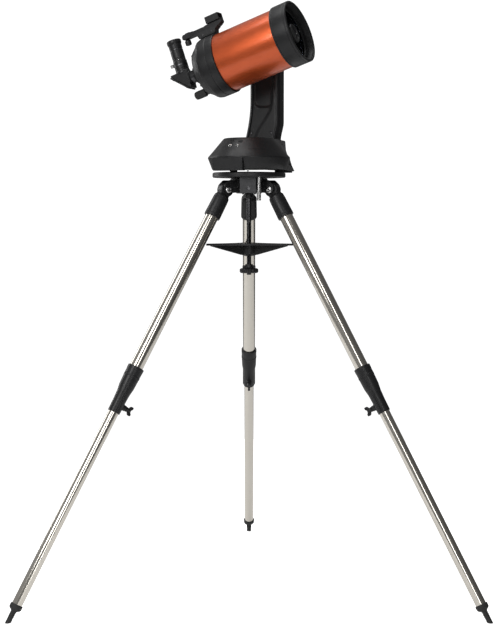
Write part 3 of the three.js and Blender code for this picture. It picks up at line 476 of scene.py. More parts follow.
def leg(name):
    place = leg_frame(name)
    upper = Body(place, f"leg_{name}")
    lower = Body(place, f"leg_{name}_lower")
    tag = f"leg_{name}"
    # Socket: a knuckle between the lugs, flowing into a sleeve round the tube
    knuckle = upper.along(ALONG_Y)
    hoop(knuckle, f"{tag}_knuckle", [(4.4, -11.8), (15, -11.8), (16.8, -10.5), (16.8, 10.5), (15, 11.8),
        (4.4, 11.8)], BLACK, [f"{tag}_socket"], SIDES, rounding=1.0)
    lathe(upper, f"{tag}_socket_sleeve", [(16.3, -74.8), (19.6, -74.8), (19.9, -72), (19.2, -30),
        (18.4, -19, 6), (13, -12.5, 3), (0, -12.5)], BLACK, rounding=1.2)
    block(upper, f"{tag}_socket_neck", (-12.5, -11.7, -20), (12.5, 11.7, -4), BLACK, bevel=2.5)
    for sign in (-1, 1):
        block(upper, f"{tag}_socket_rib_{sign}", (-1.6, 16 * sign - 3, -68), (1.6, 16 * sign + 3, -22),
            BLACK, bevel=0.8)
    hoop(upper, f"{tag}_socket_band", rectangle(19.4, 20, -69, -66.5), BLACK_SOFT, sides=SIDES,
        rounding=0.2)
    # Tubes
    hoop(upper, f"{tag}_tube_upper", rectangle(14.6, 16, -499.7, -24), STEEL, [f"{tag}_upper_tube"])
    hoop(lower, f"{tag}_tube_lower", rectangle(11.1, 12.5, -1086, -516), STEEL, [f"{tag}_lower_tube"])
    # Clamp: collar, tapered body, lower grip and the boss for the wing screw
    lathe(upper, f"{tag}_clamp_body", [(12.8, -599), (14.2, -599), (15, -597.5), (15.2, -570),
        (16.2, -548, 12), (18.6, -532, 12), (19.2, -512), (19.6, -492), (20, -489), (20, -481.5),
        (19, -480.8), (16.2, -480.8)], BLACK, [f"{tag}_clamp"], rounding=0.8)
    hoop(upper, f"{tag}_clamp_band", [(19, -508), (19.9, -507), (19.9, -503), (19, -502)], BLACK_SOFT,
        sides=SIDES)
    for sign in (-1, 1):
        block(upper, f"{tag}_clamp_rib_{sign}", (-2, 14.2 * sign - 2.4, -596),
            (2, 14.2 * sign + 2.4, -532), BLACK, bevel=1.2)
    boss = upper.at((0, 0, -579)).along(BACKWARDS)
    lathe(boss, f"{tag}_clamp_boss", [(3.4, 10), (8, 11), (7, 16), (7, 22.6), (3.4, 22.6)], BLACK,
        sides=SMALL_SIDES)
    block(boss, f"{tag}_clamp_cheek", (-9, -7, 10), (9, 7, 15), BLACK, bevel=2)
    knob = Body(boss.place, f"{tag}_knob")
    lathe(knob, f"{tag}_knob_shank", [(0, 14.5), (3, 14.5), (3, 23.5), (5.8, 24), (6, 27), (4.6, 31),
        (4, 34), (0, 34)], BLACK, [f"{tag}_clamp_knob"], SMALL_SIDES)
    wing = knob.along(SIDE_ON)
    for half in (-1, 1):
        prism(wing, f"{tag}_knob_wing_{half}", [(0, 30.5, 0), (half * 5, 30.5, 2), (half * 11.3, 34.5, 3),
            (half * 11.3, 41.8, 3), (half * 6, 41.8, 3), (half * 3, 38.5, 3), (0, 38.5, 0)], -3, 3, BLACK,
            bevel=1.3, rounding=2)
    # Foot: a collar over the tube's end, a ringed neck and a worn flat tip
    splay = math.acos(lower.place.col[2].xyz.normalized().z)
    lathe(lower, f"{tag}_foot_collar", [(10.8, -1072), (10.8, -1086.3), (14.2, -1086.3), (15, -1087.5),
        (14.6, -1096), (12, -1099, 2), (8.4, -1101, 2), (6.4, -1104, 2), (6.3, -1116), (0, -1116)], RUBBER,
        [f"{tag}_foot"], rounding=0.7)
    leg_length = HINGE_HEIGHT / math.cos(splay)
    tip = []
    for on_floor in (False, True):
        ring = []
        for column in range(SMALL_SIDES):
            angle = 2 * math.pi * column / SMALL_SIDES
            x, y = FOOT_RADIUS * math.cos(angle), FOOT_RADIUS * math.sin(angle)
            ring.append((x, y, -leg_length - x * math.tan(splay) + 0.02 if on_floor else FOOT_TOP))
        tip.append(ring)
    skin(lower, f"{tag}_foot_tip", tip, RUBBER, bevel=0.4)
    for step in range(3):
        height = -1108 - 4 * step
        hoop(lower, f"{tag}_foot_ring_{step}", [(6, height), (6.9, height + 0.4), (6.9, height + 1.6),
            (6, height + 2)], RUBBER, sides=SMALL_SIDES, rounding=0.2)


def tray():
    body = Body(TRIPOD, "tray")
    top, plate, reach, half, skew = 852, 4.8, 118.5, 11.8, 6.7
    outline = []
    for arm in range(3):
        turn = Matrix.Rotation(math.radians(210 + 120 * arm), 2)
        following = Matrix.Rotation(math.radians(330 + 120 * arm), 2)
        waist = turn @ Vector((23 * 0.8, 39.8 * 0.8))
        start = turn @ Vector((reach + skew, half))
        end = following @ Vector((reach - skew, -half))
        outline.append(turn @ Vector((reach - skew, -half)))
        for step in range(17):
            t = step / 16
            outline.append(start.lerp(waist, t).lerp(waist.lerp(end, t), t))
    flat = [(point.x, point.y) for point in outline[:-1]]
    prism(body, "tray_plate", flat, top - plate, top, BLACK, ["accessory_tray"], bevel=1.2)
    rim = [(x * 0.965, y * 0.965) for x, y in flat]
    inner = [(x * 0.90, y * 0.90) for x, y in flat]
    rings = [[(x, y, top - 0.5) for x, y in rim], [(x, y, top) for x, y in rim],
        [(x, y, top) for x, y in inner], [(x, y, top - 0.5) for x, y in inner]]
    skin(body, "tray_rim", rings, BLACK_SOFT, cap_low=False, cap_high=False, bevel=0.3)
    hoop(body, "tray_hub", [(7, 821.2), (14, 821.2), (19.5, 826), (19.8, 846), (19.8, 848), (7, 848)],
        BLACK, sides=SIDES, rounding=1.5)
    for name in LEG_NAMES:
        arm = body.at((0, 0, 0), "Z", LEG_AZIMUTHS[name]).along(SIDE_ON)
        for offset in (-4.5, 4.5):
            rib = arm.at((0, 0, offset))
            prism(rib, f"tray_rib_{name}_{offset:.0f}", [(10, 822), (22, 824), (105, 845.5), (105, 848),
                (10, 848)], -1.3, 1.3, BLACK, bevel=0.5)
    knob = Body(TRIPOD, "tray_knob")
    hoop(knob, "tray_knob_disc", [(6.4, 779.2), (20, 779.2), (22.8, 781.5), (22.8, 788.5), (20, 790.8),
        (13, 790.8), (10, 793), (9.4, 800.8), (6.4, 800.8)], BLACK, ["tray_knob"], rounding=1.0,
        wave=flutes(18, 1.1, 780, 790))
    for sign in (-1, 1):
        block(knob, f"tray_knob_ear_{sign}", (sign * 12 - 4, -3, 789), (sign * 12 + 4, 3, 798), BLACK,
            bevel=1.4)


def top_plate():
    body = Body(TRIPOD, "top_plate")
    lathe(body, "tilt_plate_disc", [(0, 1011.2), (60, 1011.2), (62, 1013.2), (80, 1013.2), (82, 1011.2),
        (87, 1011.2), (88.9, 1013.2), (88.9, 1021), (86.6, 1023.3), (0, 1023.3)], CASTING, ["tilt_plate"],
        LARGE_SIDES, rounding=0.9)
    left, right = -22, 17
    front = body.along(SIDE_ON)
    prism(front, "tilt_bracket", [(left, 973, 3), (right, 973, 3), (right, 1011.5), (left, 1011.5)], 66.6,
        71.8, GREY_CASTING, bevel=1.0)
    for x in (left, right - 9):
        block(body, f"tilt_ear_{x}", (x, -67, 973.2), (x + 9, -52.2, 1011.3), GREY_CASTING, bevel=1.0)
    block(body, "tilt_bracket_top", (left, -70, 1000), (right, -52.2, 1011.3), GREY_CASTING, bevel=1.0)
    pin = body.at((-2.5, -61, 984)).along(ALONG_X)
    lathe(pin, "tilt_pin_rod", rectangle(0, 3, -19.5, 19.5), CHROME, ["tilt_pin"], SMALL_SIDES)
    lock = front.at((-3, 984, 71.5))
    lathe(lock, "tilt_lock_screw", [(0, 0), (5.6, 0), (5.6, 0.3), (0, 0.48)], DARK_METAL, sides=6,
        rounding=0.05)
    screw = Body(TRIPOD, "mount_screw").at((23.5, -64, 0))
    threaded_rod(screw, "mount_screw_thread", 5.9, 1.75, 955, 1000, CHROME, ["mount_screw"])
    lathe(screw, "mount_screw_shank", rectangle(0, 5.6, 999, 1021), CHROME, sides=SMALL_SIDES)


tripod_head()
for leg_name in LEG_NAMES:
    leg(leg_name)
tray()
top_plate()


# --- Mount ---

BASE = Body(MOUNT, "mount")
STAND = Body(TRIPOD, "top_plate")
BASE_CORNER_LEFT = 9
BASE_CORNER_RIGHT = 4.5
BASE_LIFT = 6.5  # the bottom edge rises by this much behind the battery bay
BASE_LIFT_TOP = 1044
SLOPE = 50  # degrees by which the upper skin leans in


def smooth_step(value):
    t = min(1.0, max(0.0, value))
    return t * t * (3 - 2 * t)


def base_lift(x, y, z):
    """How far the bottom edge is raised: behind the battery bay, except at the right back corner."""
    behind = smooth_step((y + 12) / 14)
    corner = smooth_step((x * HEADING.x + y * ARM_SIDE.x - 56) / 8)
    low = max(0.0, (BASE_LIFT_TOP - z) / (BASE_LIFT_TOP - 1030))
    return BASE_LIFT * behind * (1 - corner) * low


def base_level(z, round_radius, left, right, back, samples=96):
    """The base's outline at a height, by the direction in which its skin faces."""
    discs = [(0, 0, round_radius), (-left + BASE_CORNER_LEFT, back - BASE_CORNER_LEFT, BASE_CORNER_LEFT),
        (right - BASE_CORNER_RIGHT, back - BASE_CORNER_RIGHT, BASE_CORNER_RIGHT)]
    ring = []
    for i in range(samples):
        angle = 2 * math.pi * i / samples
        nx, ny = math.cos(angle), math.sin(angle)
        x, y, radius = max(discs, key=lambda disc: disc[0] * nx + disc[1] * ny + disc[2])
        x += radius * nx
        y += radius * ny
        ring.append((x, y, z + base_lift(x, y, z)))
    return ring


BASE_LEVELS = [(1030, 89.5, 64, 62, 143), (1059, 100.5, 60, 51, 133), (1082, 81, 57, 44, 130),
    (1106, 61, 55, 42, 130)]


def level_at(z, inset=0.0):
    """The base's sizes at any height, between the levels that are given."""
    for low, high in zip(BASE_LEVELS, BASE_LEVELS[1:]):
        if z <= high[0]:
            t = (z - low[0]) / (high[0] - low[0])
            sizes = [a + (b - a) * t for a, b in zip(low[1:], high[1:])]
            return (z, *[size - inset for size in sizes])
    return (z, *[size - inset for size in BASE_LEVELS[-1][1:]])


def base_housing():
    heights = [(1030, 0.8), (1030.8, 0), (1044, 0), (1056.6, 0), (1057.6, 0.1), (1059, 0.35),
        (1060.4, 0.1), (1061.4, 0), (1070, 0), (1082, 0), (1094, 0), (1103, 0), (1104.8, 0.5),
        (1105.7, 1.6), (1106, 3.4)]
    rings = [base_level(*level_at(z, inset)) for z, inset in heights]
    inside = [base_level(*level_at(z, 3)) for z in (1103, 1082, 1059, 1030)]
    skin(BASE, "base_shell", rings, BLACK, ["base_housing"], cap_low=False, sharp=60)
    skin(BASE, "base_shell_inside", inside, MATTE, cap_high=False, sharp=60)
    # The lip between the skin and its inside, all round the bottom
    skin(BASE, "base_shell_lip", [base_level(*level_at(1030, 0.8)), base_level(*level_at(1030, 3))], BLACK,
        cap_low=False, cap_high=False)
    block(BASE, "base_foot_lip", (18, 112, 1026.2), (57, 139.5, 1034), BLACK, bevel=1.5, rounding=4)


base_housing()


def base_details():
    """Jacks, a socket, and a thin dark band on the slope that paints the shade of a moulded groove; the
    power switch is its own body.
    """
    def on_slope(body, angle, z):
        radius = level_at(z)[1]
        return body.at((0, 0, 0), "Z", angle).at((radius, 0, z), "Y", SLOPE)

    for name, angle, z, radius in (("jack_left", 259, 1086, 4.0), ("jack_right", 274, 1086, 3.4)):
        spot = on_slope(BASE, angle, z)
        hoop(spot, f"{name}_ring", [(radius * 0.55, -2), (radius, -2), (radius, 1.1), (radius * 0.75, 1.5),
            (radius * 0.55, 1.1)], CHROME, sides=SMALL_SIDES, rounding=0.2)
        lathe(spot, f"{name}_hole", rectangle(0, radius * 0.6, 0.1, 0.3), MATTE, sides=24)
    socket = on_slope(BASE, 257, 1098)
    hoop(socket, "socket_ring", [(3.4, -2), (5.6, -2), (5.6, 0.5), (5, 0.9), (3.4, 0.2)], BLACK_SOFT,
        sides=SMALL_SIDES, rounding=0.2)
    lathe(socket, "socket_hole", rectangle(0, 3.6, -0.6, -0.3), MATTE, sides=24)
    # The groove is a dark matte band standing 0.25 mm proud of the skin: painted shade of a moulded crease,
    # not a cut.
    groove = []
    for angle_step in range(13):
        angle = math.radians(293 + 28 * angle_step / 12)
        ring = []
        for z, out in ((1076.2, -0.5), (1076.2, 0.25), (1077.6, 0.25), (1077.6, -0.5)):
            radius = level_at(z)[1] + out
            ring.append((radius * math.cos(angle), radius * math.sin(angle), z))
        groove.append(ring)
    skin(BASE, "base_groove_shade_band", groove, MATTE)
    switch = Body(MOUNT, "power_switch")
    block(on_slope(switch, 277, 1096), "power_switch_cap", (-3.3, -5.3, -3.5), (3.3, 5.3, 1.2), BLACK_SOFT,
        ["power_switch"], bevel=0.9)
    for offset in (-2.4, 0, 2.4):
        block(on_slope(switch, 277, 1096), f"power_switch_rib_{offset:.0f}", (-2.6, offset - 0.4, 1.0),
            (2.6, offset + 0.4, 1.7), BLACK_SOFT, bevel=0.15)


def battery_door():
    left, right, front, bottom, top = -49.7, 27.7, -101, 1026.3, 1056.7
    door = Body(MOUNT, "battery_door").along(SIDE_ON)
    prism(door, "door_panel", rectangle(left, right, bottom, top), -front - 2.6, -front - 0.3, BLACK,
        ["battery_door"], bevel=0.7, rounding=2.5)
    prism(door, "door_raised", rectangle(left + 4, right - 4, bottom + 4, top - 4), -front - 0.6, -front,
        BLACK_SOFT, bevel=0.3, rounding=2)
    for step in range(5):
        x = -17 + 3 * step
        prism(door, f"door_grip_{step}", rectangle(x, x + 1.2, top - 3.4, top - 0.8), -front - 0.6, -front,
            BLACK, bevel=0.2)
    # The bay that it closes
    bay = BASE.along(SIDE_ON)
    walls = [(-50, 28, 1026, 1031.5), (-50, 28, 1051.5, 1057), (-50, -43.5, 1031, 1052),
        (21.5, 28, 1031, 1052)]
    for number, (x0, x1, z0, z1) in enumerate(walls):
        prism(bay, f"bay_wall_{number}", rectangle(x0, x1, z0, z1), 84, 98, BLACK, bevel=0.5)


def base_plate():
    lathe(STAND, "turntable", [(0, 1032.4), (82, 1032.4), (84.3, 1032.9), (84.3, 1033.8), (0, 1033.8)],
        CASTING, ["base_plate"], LARGE_SIDES, rounding=0.4)
    lathe(STAND, "turntable_post", [(0, 1033), (7.9, 1033), (7.9, 1056.5), (6.5, 1058), (0, 1058)], STEEL,
        sides=SMALL_SIDES)
    for turn in (0, 120, 240):
        pad = STAND.at((0, 0, 0), "Z", turn).at((75, 0, 0))
        lathe(pad, f"turntable_pad_{turn}", [(0, 1023.8), (7.6, 1023.8), (8.8, 1025), (8.8, 1032.6),
            (0, 1032.6)], RUBBER, sides=SMALL_SIDES, rounding=0.4)
    lathe(STAND.at((-2.6, -80, 0)), "turntable_pin", rectangle(0, 1.7, 1023.8, 1032.6), CHROME, sides=16)


ARM_INNER, ARM_SEAM, ARM_OUTER = 88, 110, 128
SWEEP_DEPTH = 3.4
POCKET_X = -2
POCKET_HALF_WIDTH = 27
POCKET_DEPTH = 3.2
ARM_FOOT = 1106.3
ARM_HALF_WIDTH = 40.0
ARM_TOP_RADIUS = 45.0
ARM_FLARE = 15
ARM_TUCK = 8
AXIS_HEIGHT = joint_point("altitude").z / MM


def arm_edges(z):
    """Left and right edges of the arm at a height, seen from its side: a round top, a straight part,
    and a foot that flares to the left and tucks in on the right."""
    half = ARM_HALF_WIDTH
    shoulder = 20  # the round top starts this far under the axis, and the straight part ends twice as far
    rise = z - AXIS_HEIGHT
    if rise > -shoulder:
        reach = math.sqrt(max(0.0, ARM_TOP_RADIUS ** 2 - rise ** 2))
        return -reach, reach
    if rise > -2 * shoulder:
        widest = math.sqrt(ARM_TOP_RADIUS ** 2 - shoulder ** 2)
        swell = smooth_step((rise + 2 * shoulder) / shoulder) * (widest - half)
        return -half - swell, half + swell
    flare = ARM_FLARE * (max(0.0, ARM_FOOT + 100 - z) / 100) ** 1.9
    tuck = ARM_TUCK * smooth_step((ARM_FOOT + 46 - z) / 46)
    return -half - flare, half - tuck


def arm_relief(x, z):
    """How far the arm's inner face sinks: a sweep to the left of an S-shaped edge, and a round pocket."""
    edge = 20 - 44 * smooth_step((1196 - z) / 90)
    sweep = SWEEP_DEPTH * smooth_step((edge - x) / 10 + 0.5)
    fade = smooth_step((AXIS_HEIGHT - 29 - z) / 30)
    across = (x - POCKET_X) / POCKET_HALF_WIDTH
    down = max(0.0, 1226 - z) / 39
    pocket = POCKET_DEPTH * smooth_step((1 - across ** 4 - down ** 4) / 0.35)
    return sweep * fade + pocket * smooth_step((AXIS_HEIGHT - 7 - z) / 20)


def arm_ring(z, low, high, outer_round, relief):
    """A rounded cross-section of half of the arm. Relief makes its face at low the sunk inner one."""
    left, right = arm_edges(z)
    width = right - left
    rounding = min(outer_round, width / 2.2)
    ring = []
    if relief:
        across = 44
        for i in range(across + 1):
            x = left + rounding + (width - 2 * rounding) * i / across
            ring.append((x, low + arm_relief(x, z) * min(1.0, (x - left) / 10, (right - x) / 8), z))
        for i in range(1, 9):
            angle = math.pi / 2 * i / 8
            y = low + rounding * (1 - math.cos(angle))
            ring.append((right - rounding + rounding * math.sin(angle), y, z))
        ring.append((right, high, z))
        ring.append((left, high, z))
        for i in range(0, 8):
            angle = math.pi / 2 * (1 - i / 8)
            y = low + rounding * (1 - math.cos(angle))
            ring.append((left + rounding - rounding * math.sin(angle), y, z))
        return ring
    corner = [(left, low), (right, low), (right, high, rounding), (left, high, rounding)]
    return [(x, y, z) for x, y in fillet(corner, 0, True, 8)]


def sunk_screw(spot, well, screw, hole, lip):
    """A screw down a raised well. Both are named."""
    hoop(spot, well, [(hole, -1.2), (hole + 2, -1.2), (hole + 2, lip), (hole + 1.4, lip + 0.3),
        (hole, -0.2)], BLACK, sides=SMALL_SIDES, rounding=0.2)
    lathe(spot, screw, [(0, -1), (hole + 0.2, -1), (hole + 0.2, -0.1), (0, 0.2)], DARK_METAL, sides=20)


def arm():
    heights = [1106.4 + 1.2 * step for step in range(4)] + [1112 + 3.1 * step for step in range(79)]
    top = AXIS_HEIGHT + 44.6
    heights = [z for z in heights if z < top - 4] + [top - 3.4, top - 2.2, top - 1.2, top - 0.4, top]
    inner = [arm_ring(z, ARM_INNER, ARM_SEAM - 0.1, 11, True) for z in heights]
    outer = [arm_ring(z, ARM_SEAM + 0.4, ARM_OUTER, 9, False) for z in heights]
    skin(BASE, "arm_inner", inner, BLACK, ["arm_shell"], sharp=50)
    skin(BASE, "arm_outer", outer, BLACK, ["arm_cover"], sharp=50)
    face = BASE.along(SIDE_ON)  # its Z points away from the arm
    for number, (x, z) in enumerate([(29, 1250), (20, 1124), (-36, 1124)]):
        spot = face.at((x, z, -ARM_INNER - arm_relief(x, z)))
        sunk_screw(spot, f"arm_screw_well_{number}", f"arm_screw_{number}", 2.6, 0.25)
    back = BASE.along(ALONG_Y)  # the outer side, with its Z outwards
    hoop(back.at((0, -AXIS_HEIGHT, ARM_OUTER)), "arm_hub_ring", [(27, -2), (36, -2), (36, 0), (34.5, 1.2),
        (31, 1.2), (29, 0.2), (27, 0)], BLACK_SOFT, rounding=0.5)
    lathe(back.at((0, -AXIS_HEIGHT, ARM_OUTER)), "arm_hub_disc", [(0, -1), (28, -1), (28, 0.1), (0, 0.5)],
        CASTING, sides=LARGE_SIDES)
    for number, (x, z) in enumerate([(-28, 1135), (24, 1135), (-26, 1255), (26, 1255)]):
        spot = back.at((x, -z, ARM_OUTER))
        sunk_screw(spot, f"arm_back_well_{number}", f"arm_back_screw_{number}", 2.8, 0.2)
    rings = []
    for out, z in ((3.2, 1105.4), (2.6, 1106.4), (0.8, 1108.4), (0.2, 1111)):
        left, right = arm_edges(max(z, 1106.4))
        corner = rectangle(left - out, right + out, 88 - out, 127.6 + min(out, 1.6))
        rings.append([(x, y, z) for x, y in fillet(corner, 11, True, 8)])
    skin(BASE, "arm_collar", rings, BLACK, cap_low=False, cap_high=False, sharp=60)


base_details()
battery_door()
base_plate()
arm()


# --- Optical tube: a lathe here is turned about the optical axis ---

EYEPIECE_X = -182  # the diagonal's bend
FOCUS_PLACE = (46, 8, 0)  # under the axis and a little to its far side, in a lathe's frame
OPTICS = Body(TUBE, "optical_tube")
AXIAL = OPTICS.along(ALONG_X)


def tube_and_cells():
    hoop(AXIAL, "tube_sheet", rectangle(70.8, 72, -62, 97), ORANGE, ["tube"], 192, rounding=0.2)
    hoop(AXIAL, "tube_liner", rectangle(69.9, 70.6, -55, 90), MATTE, rounding=0.1)
    hoop(AXIAL, "front_ring", [(62, 88), (70.2, 88), (70.4, 97.4), (74.6, 97.4), (76.2, 98.8),
        (76.2, 101.4), (75.5, 102), (75.5, 102.9), (76.4, 103.5), (76.4, 133.5), (75.9, 134.1),
        (75.9, 134.9), (76.4, 135.5), (76.4, 139.4, 1.4), (74.9, 140.9), (71.3, 140.9), (70.3, 139.8),
        (69.6, 124), (69.2, 110.6), (62, 110.2)], BLACK, ["front_cell"], 192, rounding=0.45)
    ridges = [(70.0 - 0.7 * (step % 2), 136.5 - 1.1 * step) for step in range(10)]
    hoop(AXIAL, "front_recess_ridges", [(70.2, 138)] + ridges + [(70.4, 125)], BLACK_SOFT, rounding=0.1)
    hoop(AXIAL, "retaining_ring_turned", [(60.2, 119), (68.3, 119), (68.3, 121.6), (67.2, 122.4),
        (62.4, 122.4), (60.2, 120.6)], CASTING, ["retaining_ring"])
    # Dark matte bars on the retaining ring: painted shade standing for its two notches.
    for turn in (30, 210):
        spot = AXIAL.at((0, 0, 0), "Z", turn).at((65, 0, 122.2))
        block(spot, f"retaining_notch_shade_{turn}", (-1.8, -2.6, -0.2), (1.8, 2.6, 0.25), MATTE, bevel=0.1)
    grub = AXIAL.at((0, 0, 0), "Z", -18)
    lathe(grub.at((73, 0, 140.8)), "front_ring_screw", [(0, -0.6), (1.5, -0.6), (1.5, 0.1), (0, 0.16)],
        CHROME, sides=20)
    lathe(AXIAL, "secondary_turned", [(0, 113.6), (23.8, 113.6), (23.8, 120), (23, 120.6), (23, 122),
        (23.8, 122.6), (23.8, 126), (22, 127.8), (18.2, 127.8), (17.2, 124.4), (11, 124.2), (10.6, 125),
        (8.6, 125), (8.2, 124.2), (0, 124.2)], CASTING, ["secondary_cell"], LARGE_SIDES, rounding=0.35)
    for turn in (90, 210, 330):
        hoop(AXIAL.at((0, 0, 0), "Z", turn).at((14, 0, 124)), f"secondary_screw_{turn}",
            rectangle(0.8, 1.9, -0.4, 0.9), CHROME, sides=20, rounding=0.15)
    hoop(AXIAL, "baffle_turned", [(13.9, -125.8), (20.8, -125.8), (20.8, -123.2), (15.4, -123),
        (15.4, 7.8), (14.7, 7.8), (13.9, 7)], MATTE, ["baffle_tube"])


def sag(radius, curvature):
    return curvature - math.sqrt(curvature ** 2 - radius ** 2)


def glass_and_mirror():
    steps = 14
    radii = [65.2 * step / steps for step in range(steps + 1)]
    back = [(radius, 105.6 + sag(radius, 370), 0) for radius in radii]
    front = [(radius, 111.9 + sag(radius, 360), 0) for radius in reversed(radii)]
    lathe(AXIAL, "corrector_glass", back + front, GLASS, ["corrector_lens"], 192, rounding=0)
    mirror = Body(TUBE, "primary_mirror").along(ALONG_X)
    hole, edge = 16.4, 61.8
    face = []
    for step in range(11):
        radius = edge - (edge - hole) * step / 10
        face.append((radius, -97.2 + sag(radius, 520), 0))
    hoop(mirror, "mirror_disc", [(hole, -105.9), (edge, -105.9)] + face, MIRROR, ["primary_mirror"])


def rear_cell():
    hoop(AXIAL, "rear_bell", [(22.5, -129.8), (55.6, -129.8, 3), (61.2, -122.4, 5), (66.2, -115.6, 4),
        (73.4, -108.8, 5), (75.4, -102, 5), (75.8, -84), (75.2, -83.2), (75.2, -82.2), (75.8, -81.4),
        (75.8, -64), (74.6, -62.4), (70.4, -62.4), (70.4, -53.2), (66.8, -53.2), (70.6, -98, 4),
        (63.8, -111.2, 4), (54.2, -121.8, 3), (22.5, -126.3)], BLACK, ["rear_cell"], 192, rounding=0.7)
    hoop(AXIAL, "rear_step", [(27.4, -129), (27.4, -135.4), (28.4, -136.3), (39.6, -136.3), (41.8, -134.2),
        (41.8, -129)], BLACK_SOFT, rounding=0.4)
    boss = AXIAL.at(FOCUS_PLACE)
    hoop(boss, "focus_boss", [(3.5, -138.8), (7, -138.8), (7.9, -137.6), (7.9, -129), (10.5, -127),
        (3.5, -127)], BLACK, sides=SIDES, rounding=0.5)
    for turn in (45, 135, 225, 315):
        spot = AXIAL.at((0, 0, 0), "Z", turn).at((53, 0, -129.6)).along(UPSIDE_DOWN)
        hoop(spot, f"rear_screw_{turn}", [(1.3, -0.4), (2.9, -0.4), (2.9, 1.4), (2.5, 1.8), (1.3, 1.6)],
            DARK_METAL, sides=24, rounding=0.2)
    hoop(AXIAL, "visual_back_ring", [(16.1, -149.8), (20.6, -149.8), (21.8, -148.4), (21.8, -147),
        (21.1, -146.4), (21.1, -145.2), (21.8, -144.6), (21.8, -136.4), (24.6, -134.6), (25.8, -133.6),
        (25.8, -130.4), (16.1, -130.4)], CASTING, ["visual_back"], wave=flutes(48, 0.5, -134.8, -130.9))
    knob = Body(TUBE, "focus_knob").along(ALONG_X).at(FOCUS_PLACE)
    lathe(knob, "focus_grip", [(0, -172.8), (5.5, -172.8, 3), (9.3, -170.6, 3), (10.4, -165.5),
        (10.4, -143.4), (9.4, -141.3), (0, -141.3)], RUBBER, ["focus_knob"], LARGE_SIDES, rounding=0.6,
        wave=flutes(20, 0.9, -167, -144, 0.7))
    lathe(knob, "focus_end", [(0, -173), (4.6, -172.95), (4.6, -172), (0, -172)], BLACK, sides=SMALL_SIDES)
    lathe(knob, "focus_shaft", rectangle(0, 2.9, -142, -113.2), CHROME, sides=SMALL_SIDES)


def thumbscrew(place, name, node, tip, wall):
    """A bright screw up its own Z, with its fluted head above the wall that it goes through."""
    lathe(place, f"{name}_thread", rectangle(0, 1.9, tip, wall + 2.4), CHROME, [node], SMALL_SIDES)
    lathe(place, f"{name}_head", [(0, wall + 2.1), (3.2, wall + 2.1), (4.4, wall + 3), (4.4, wall + 8.8),
        (3.4, wall + 9.9), (0, wall + 9.9)], CHROME, sides=96, rounding=0.3,
        wave=flutes(16, 0.45, wall + 3, wall + 8.8))


def star_diagonal():
    body = Body(TUBE, "diagonal")
    axial = body.along(ALONG_X)
    hoop(axial, "diagonal_nose", [(12.6, -164.5), (15.6, -164.5), (15.6, -134.2), (14.9, -133.3),
        (12.6, -133.3)], DARK_METAL, ["diagonal"])
    hoop(axial, "diagonal_nose_groove", rectangle(15.4, 15.72, -156, -153.6), DARK_METAL, rounding=0.1)
    side = body.along(SIDE_ON)
    outline = [(-165, 20, 3), (-165, -24.8, 3), (-170, -24.8, 2), (-211, 16, 2), (-211, 20, 2)]
    prism(side, "diagonal_block", outline, -16.8, 16.8, BLACK, bevel=1.4, rounding=2)
    hoop(axial, "diagonal_collar", [(15.8, -165.2), (18.5, -165.2), (18.5, -162.6), (17.6, -161.8),
        (15.8, -161.8)], BLACK, rounding=0.4)
    for sign in (-1, 1):
        prism(side, f"diagonal_cheek_{sign}", [(-170, 13, 2), (-170, -15, 2), (-173, -15, 2),
            (-200, 12, 2), (-200, 13, 2)], sign * 16.9 - 0.5, sign * 16.9 + 0.1, BLACK_SOFT, bevel=0.3,
            rounding=2)
    holder = body.at((EYEPIECE_X, 0, 0))
    hoop(holder, "diagonal_holder", [(16.1, 17), (19, 17), (18.3, 21.5), (17.3, 23.5), (17.3, 27),
        (16.9, 27.4), (16.9, 28.6), (17.3, 29), (17.3, 47.6), (16.7, 49.8), (16.1, 49.8)], BLACK,
        rounding=0.4)
    hoop(holder, "diagonal_holder_band", [(17.1, 36), (17.5, 36.3), (17.5, 39.7), (17.1, 40)], DARK_METAL,
        rounding=0.1, wave=flutes(60, 0.25, 36.2, 39.8))
    high, low = Vector((-211, 16)), Vector((-170, -25))
    along = (low - high).normalized()
    out = Vector((along.y, -along.x))
    edge = [high + out * 0.35, low + out * 0.35, low + out * 3.9, high + out * 3.9]
    prism(side, "mirror_plate", [(point.x, point.y, 1) for point in edge], -17.8, 17.8, CASTING,
        ["diagonal_plate"], bevel=0.6, rounding=1)
    for across in (-13, 13):
        for share in (0.14, 0.86):
            point = high.lerp(low, share) + out * 3.9
            turn = Matrix.Translation((point.x, -across, point.y)) @ out_frame(out)
            cap_screw(body.along(turn), f"mirror_plate_screw_{across}_{share:.2f}", 2.1)
    screw = Body(TUBE, "diagonal_screw").at((EYEPIECE_X, 0, 44)).along(BACKWARDS)
    thumbscrew(screw, "holder_screw", "diagonal_screw", 16.7, 17.5)
    visual = Body(TUBE, "visual_screw").at((-143, 0, 0))
    thumbscrew(visual, "visual_back_screw", "visual_screw", 18, 22)


def out_frame(out):
    """Turns Z to a direction given in X and Z."""
    return Vector((0, 0, 1)).rotation_difference(Vector((out.x, 0, out.y))).to_matrix().to_4x4()


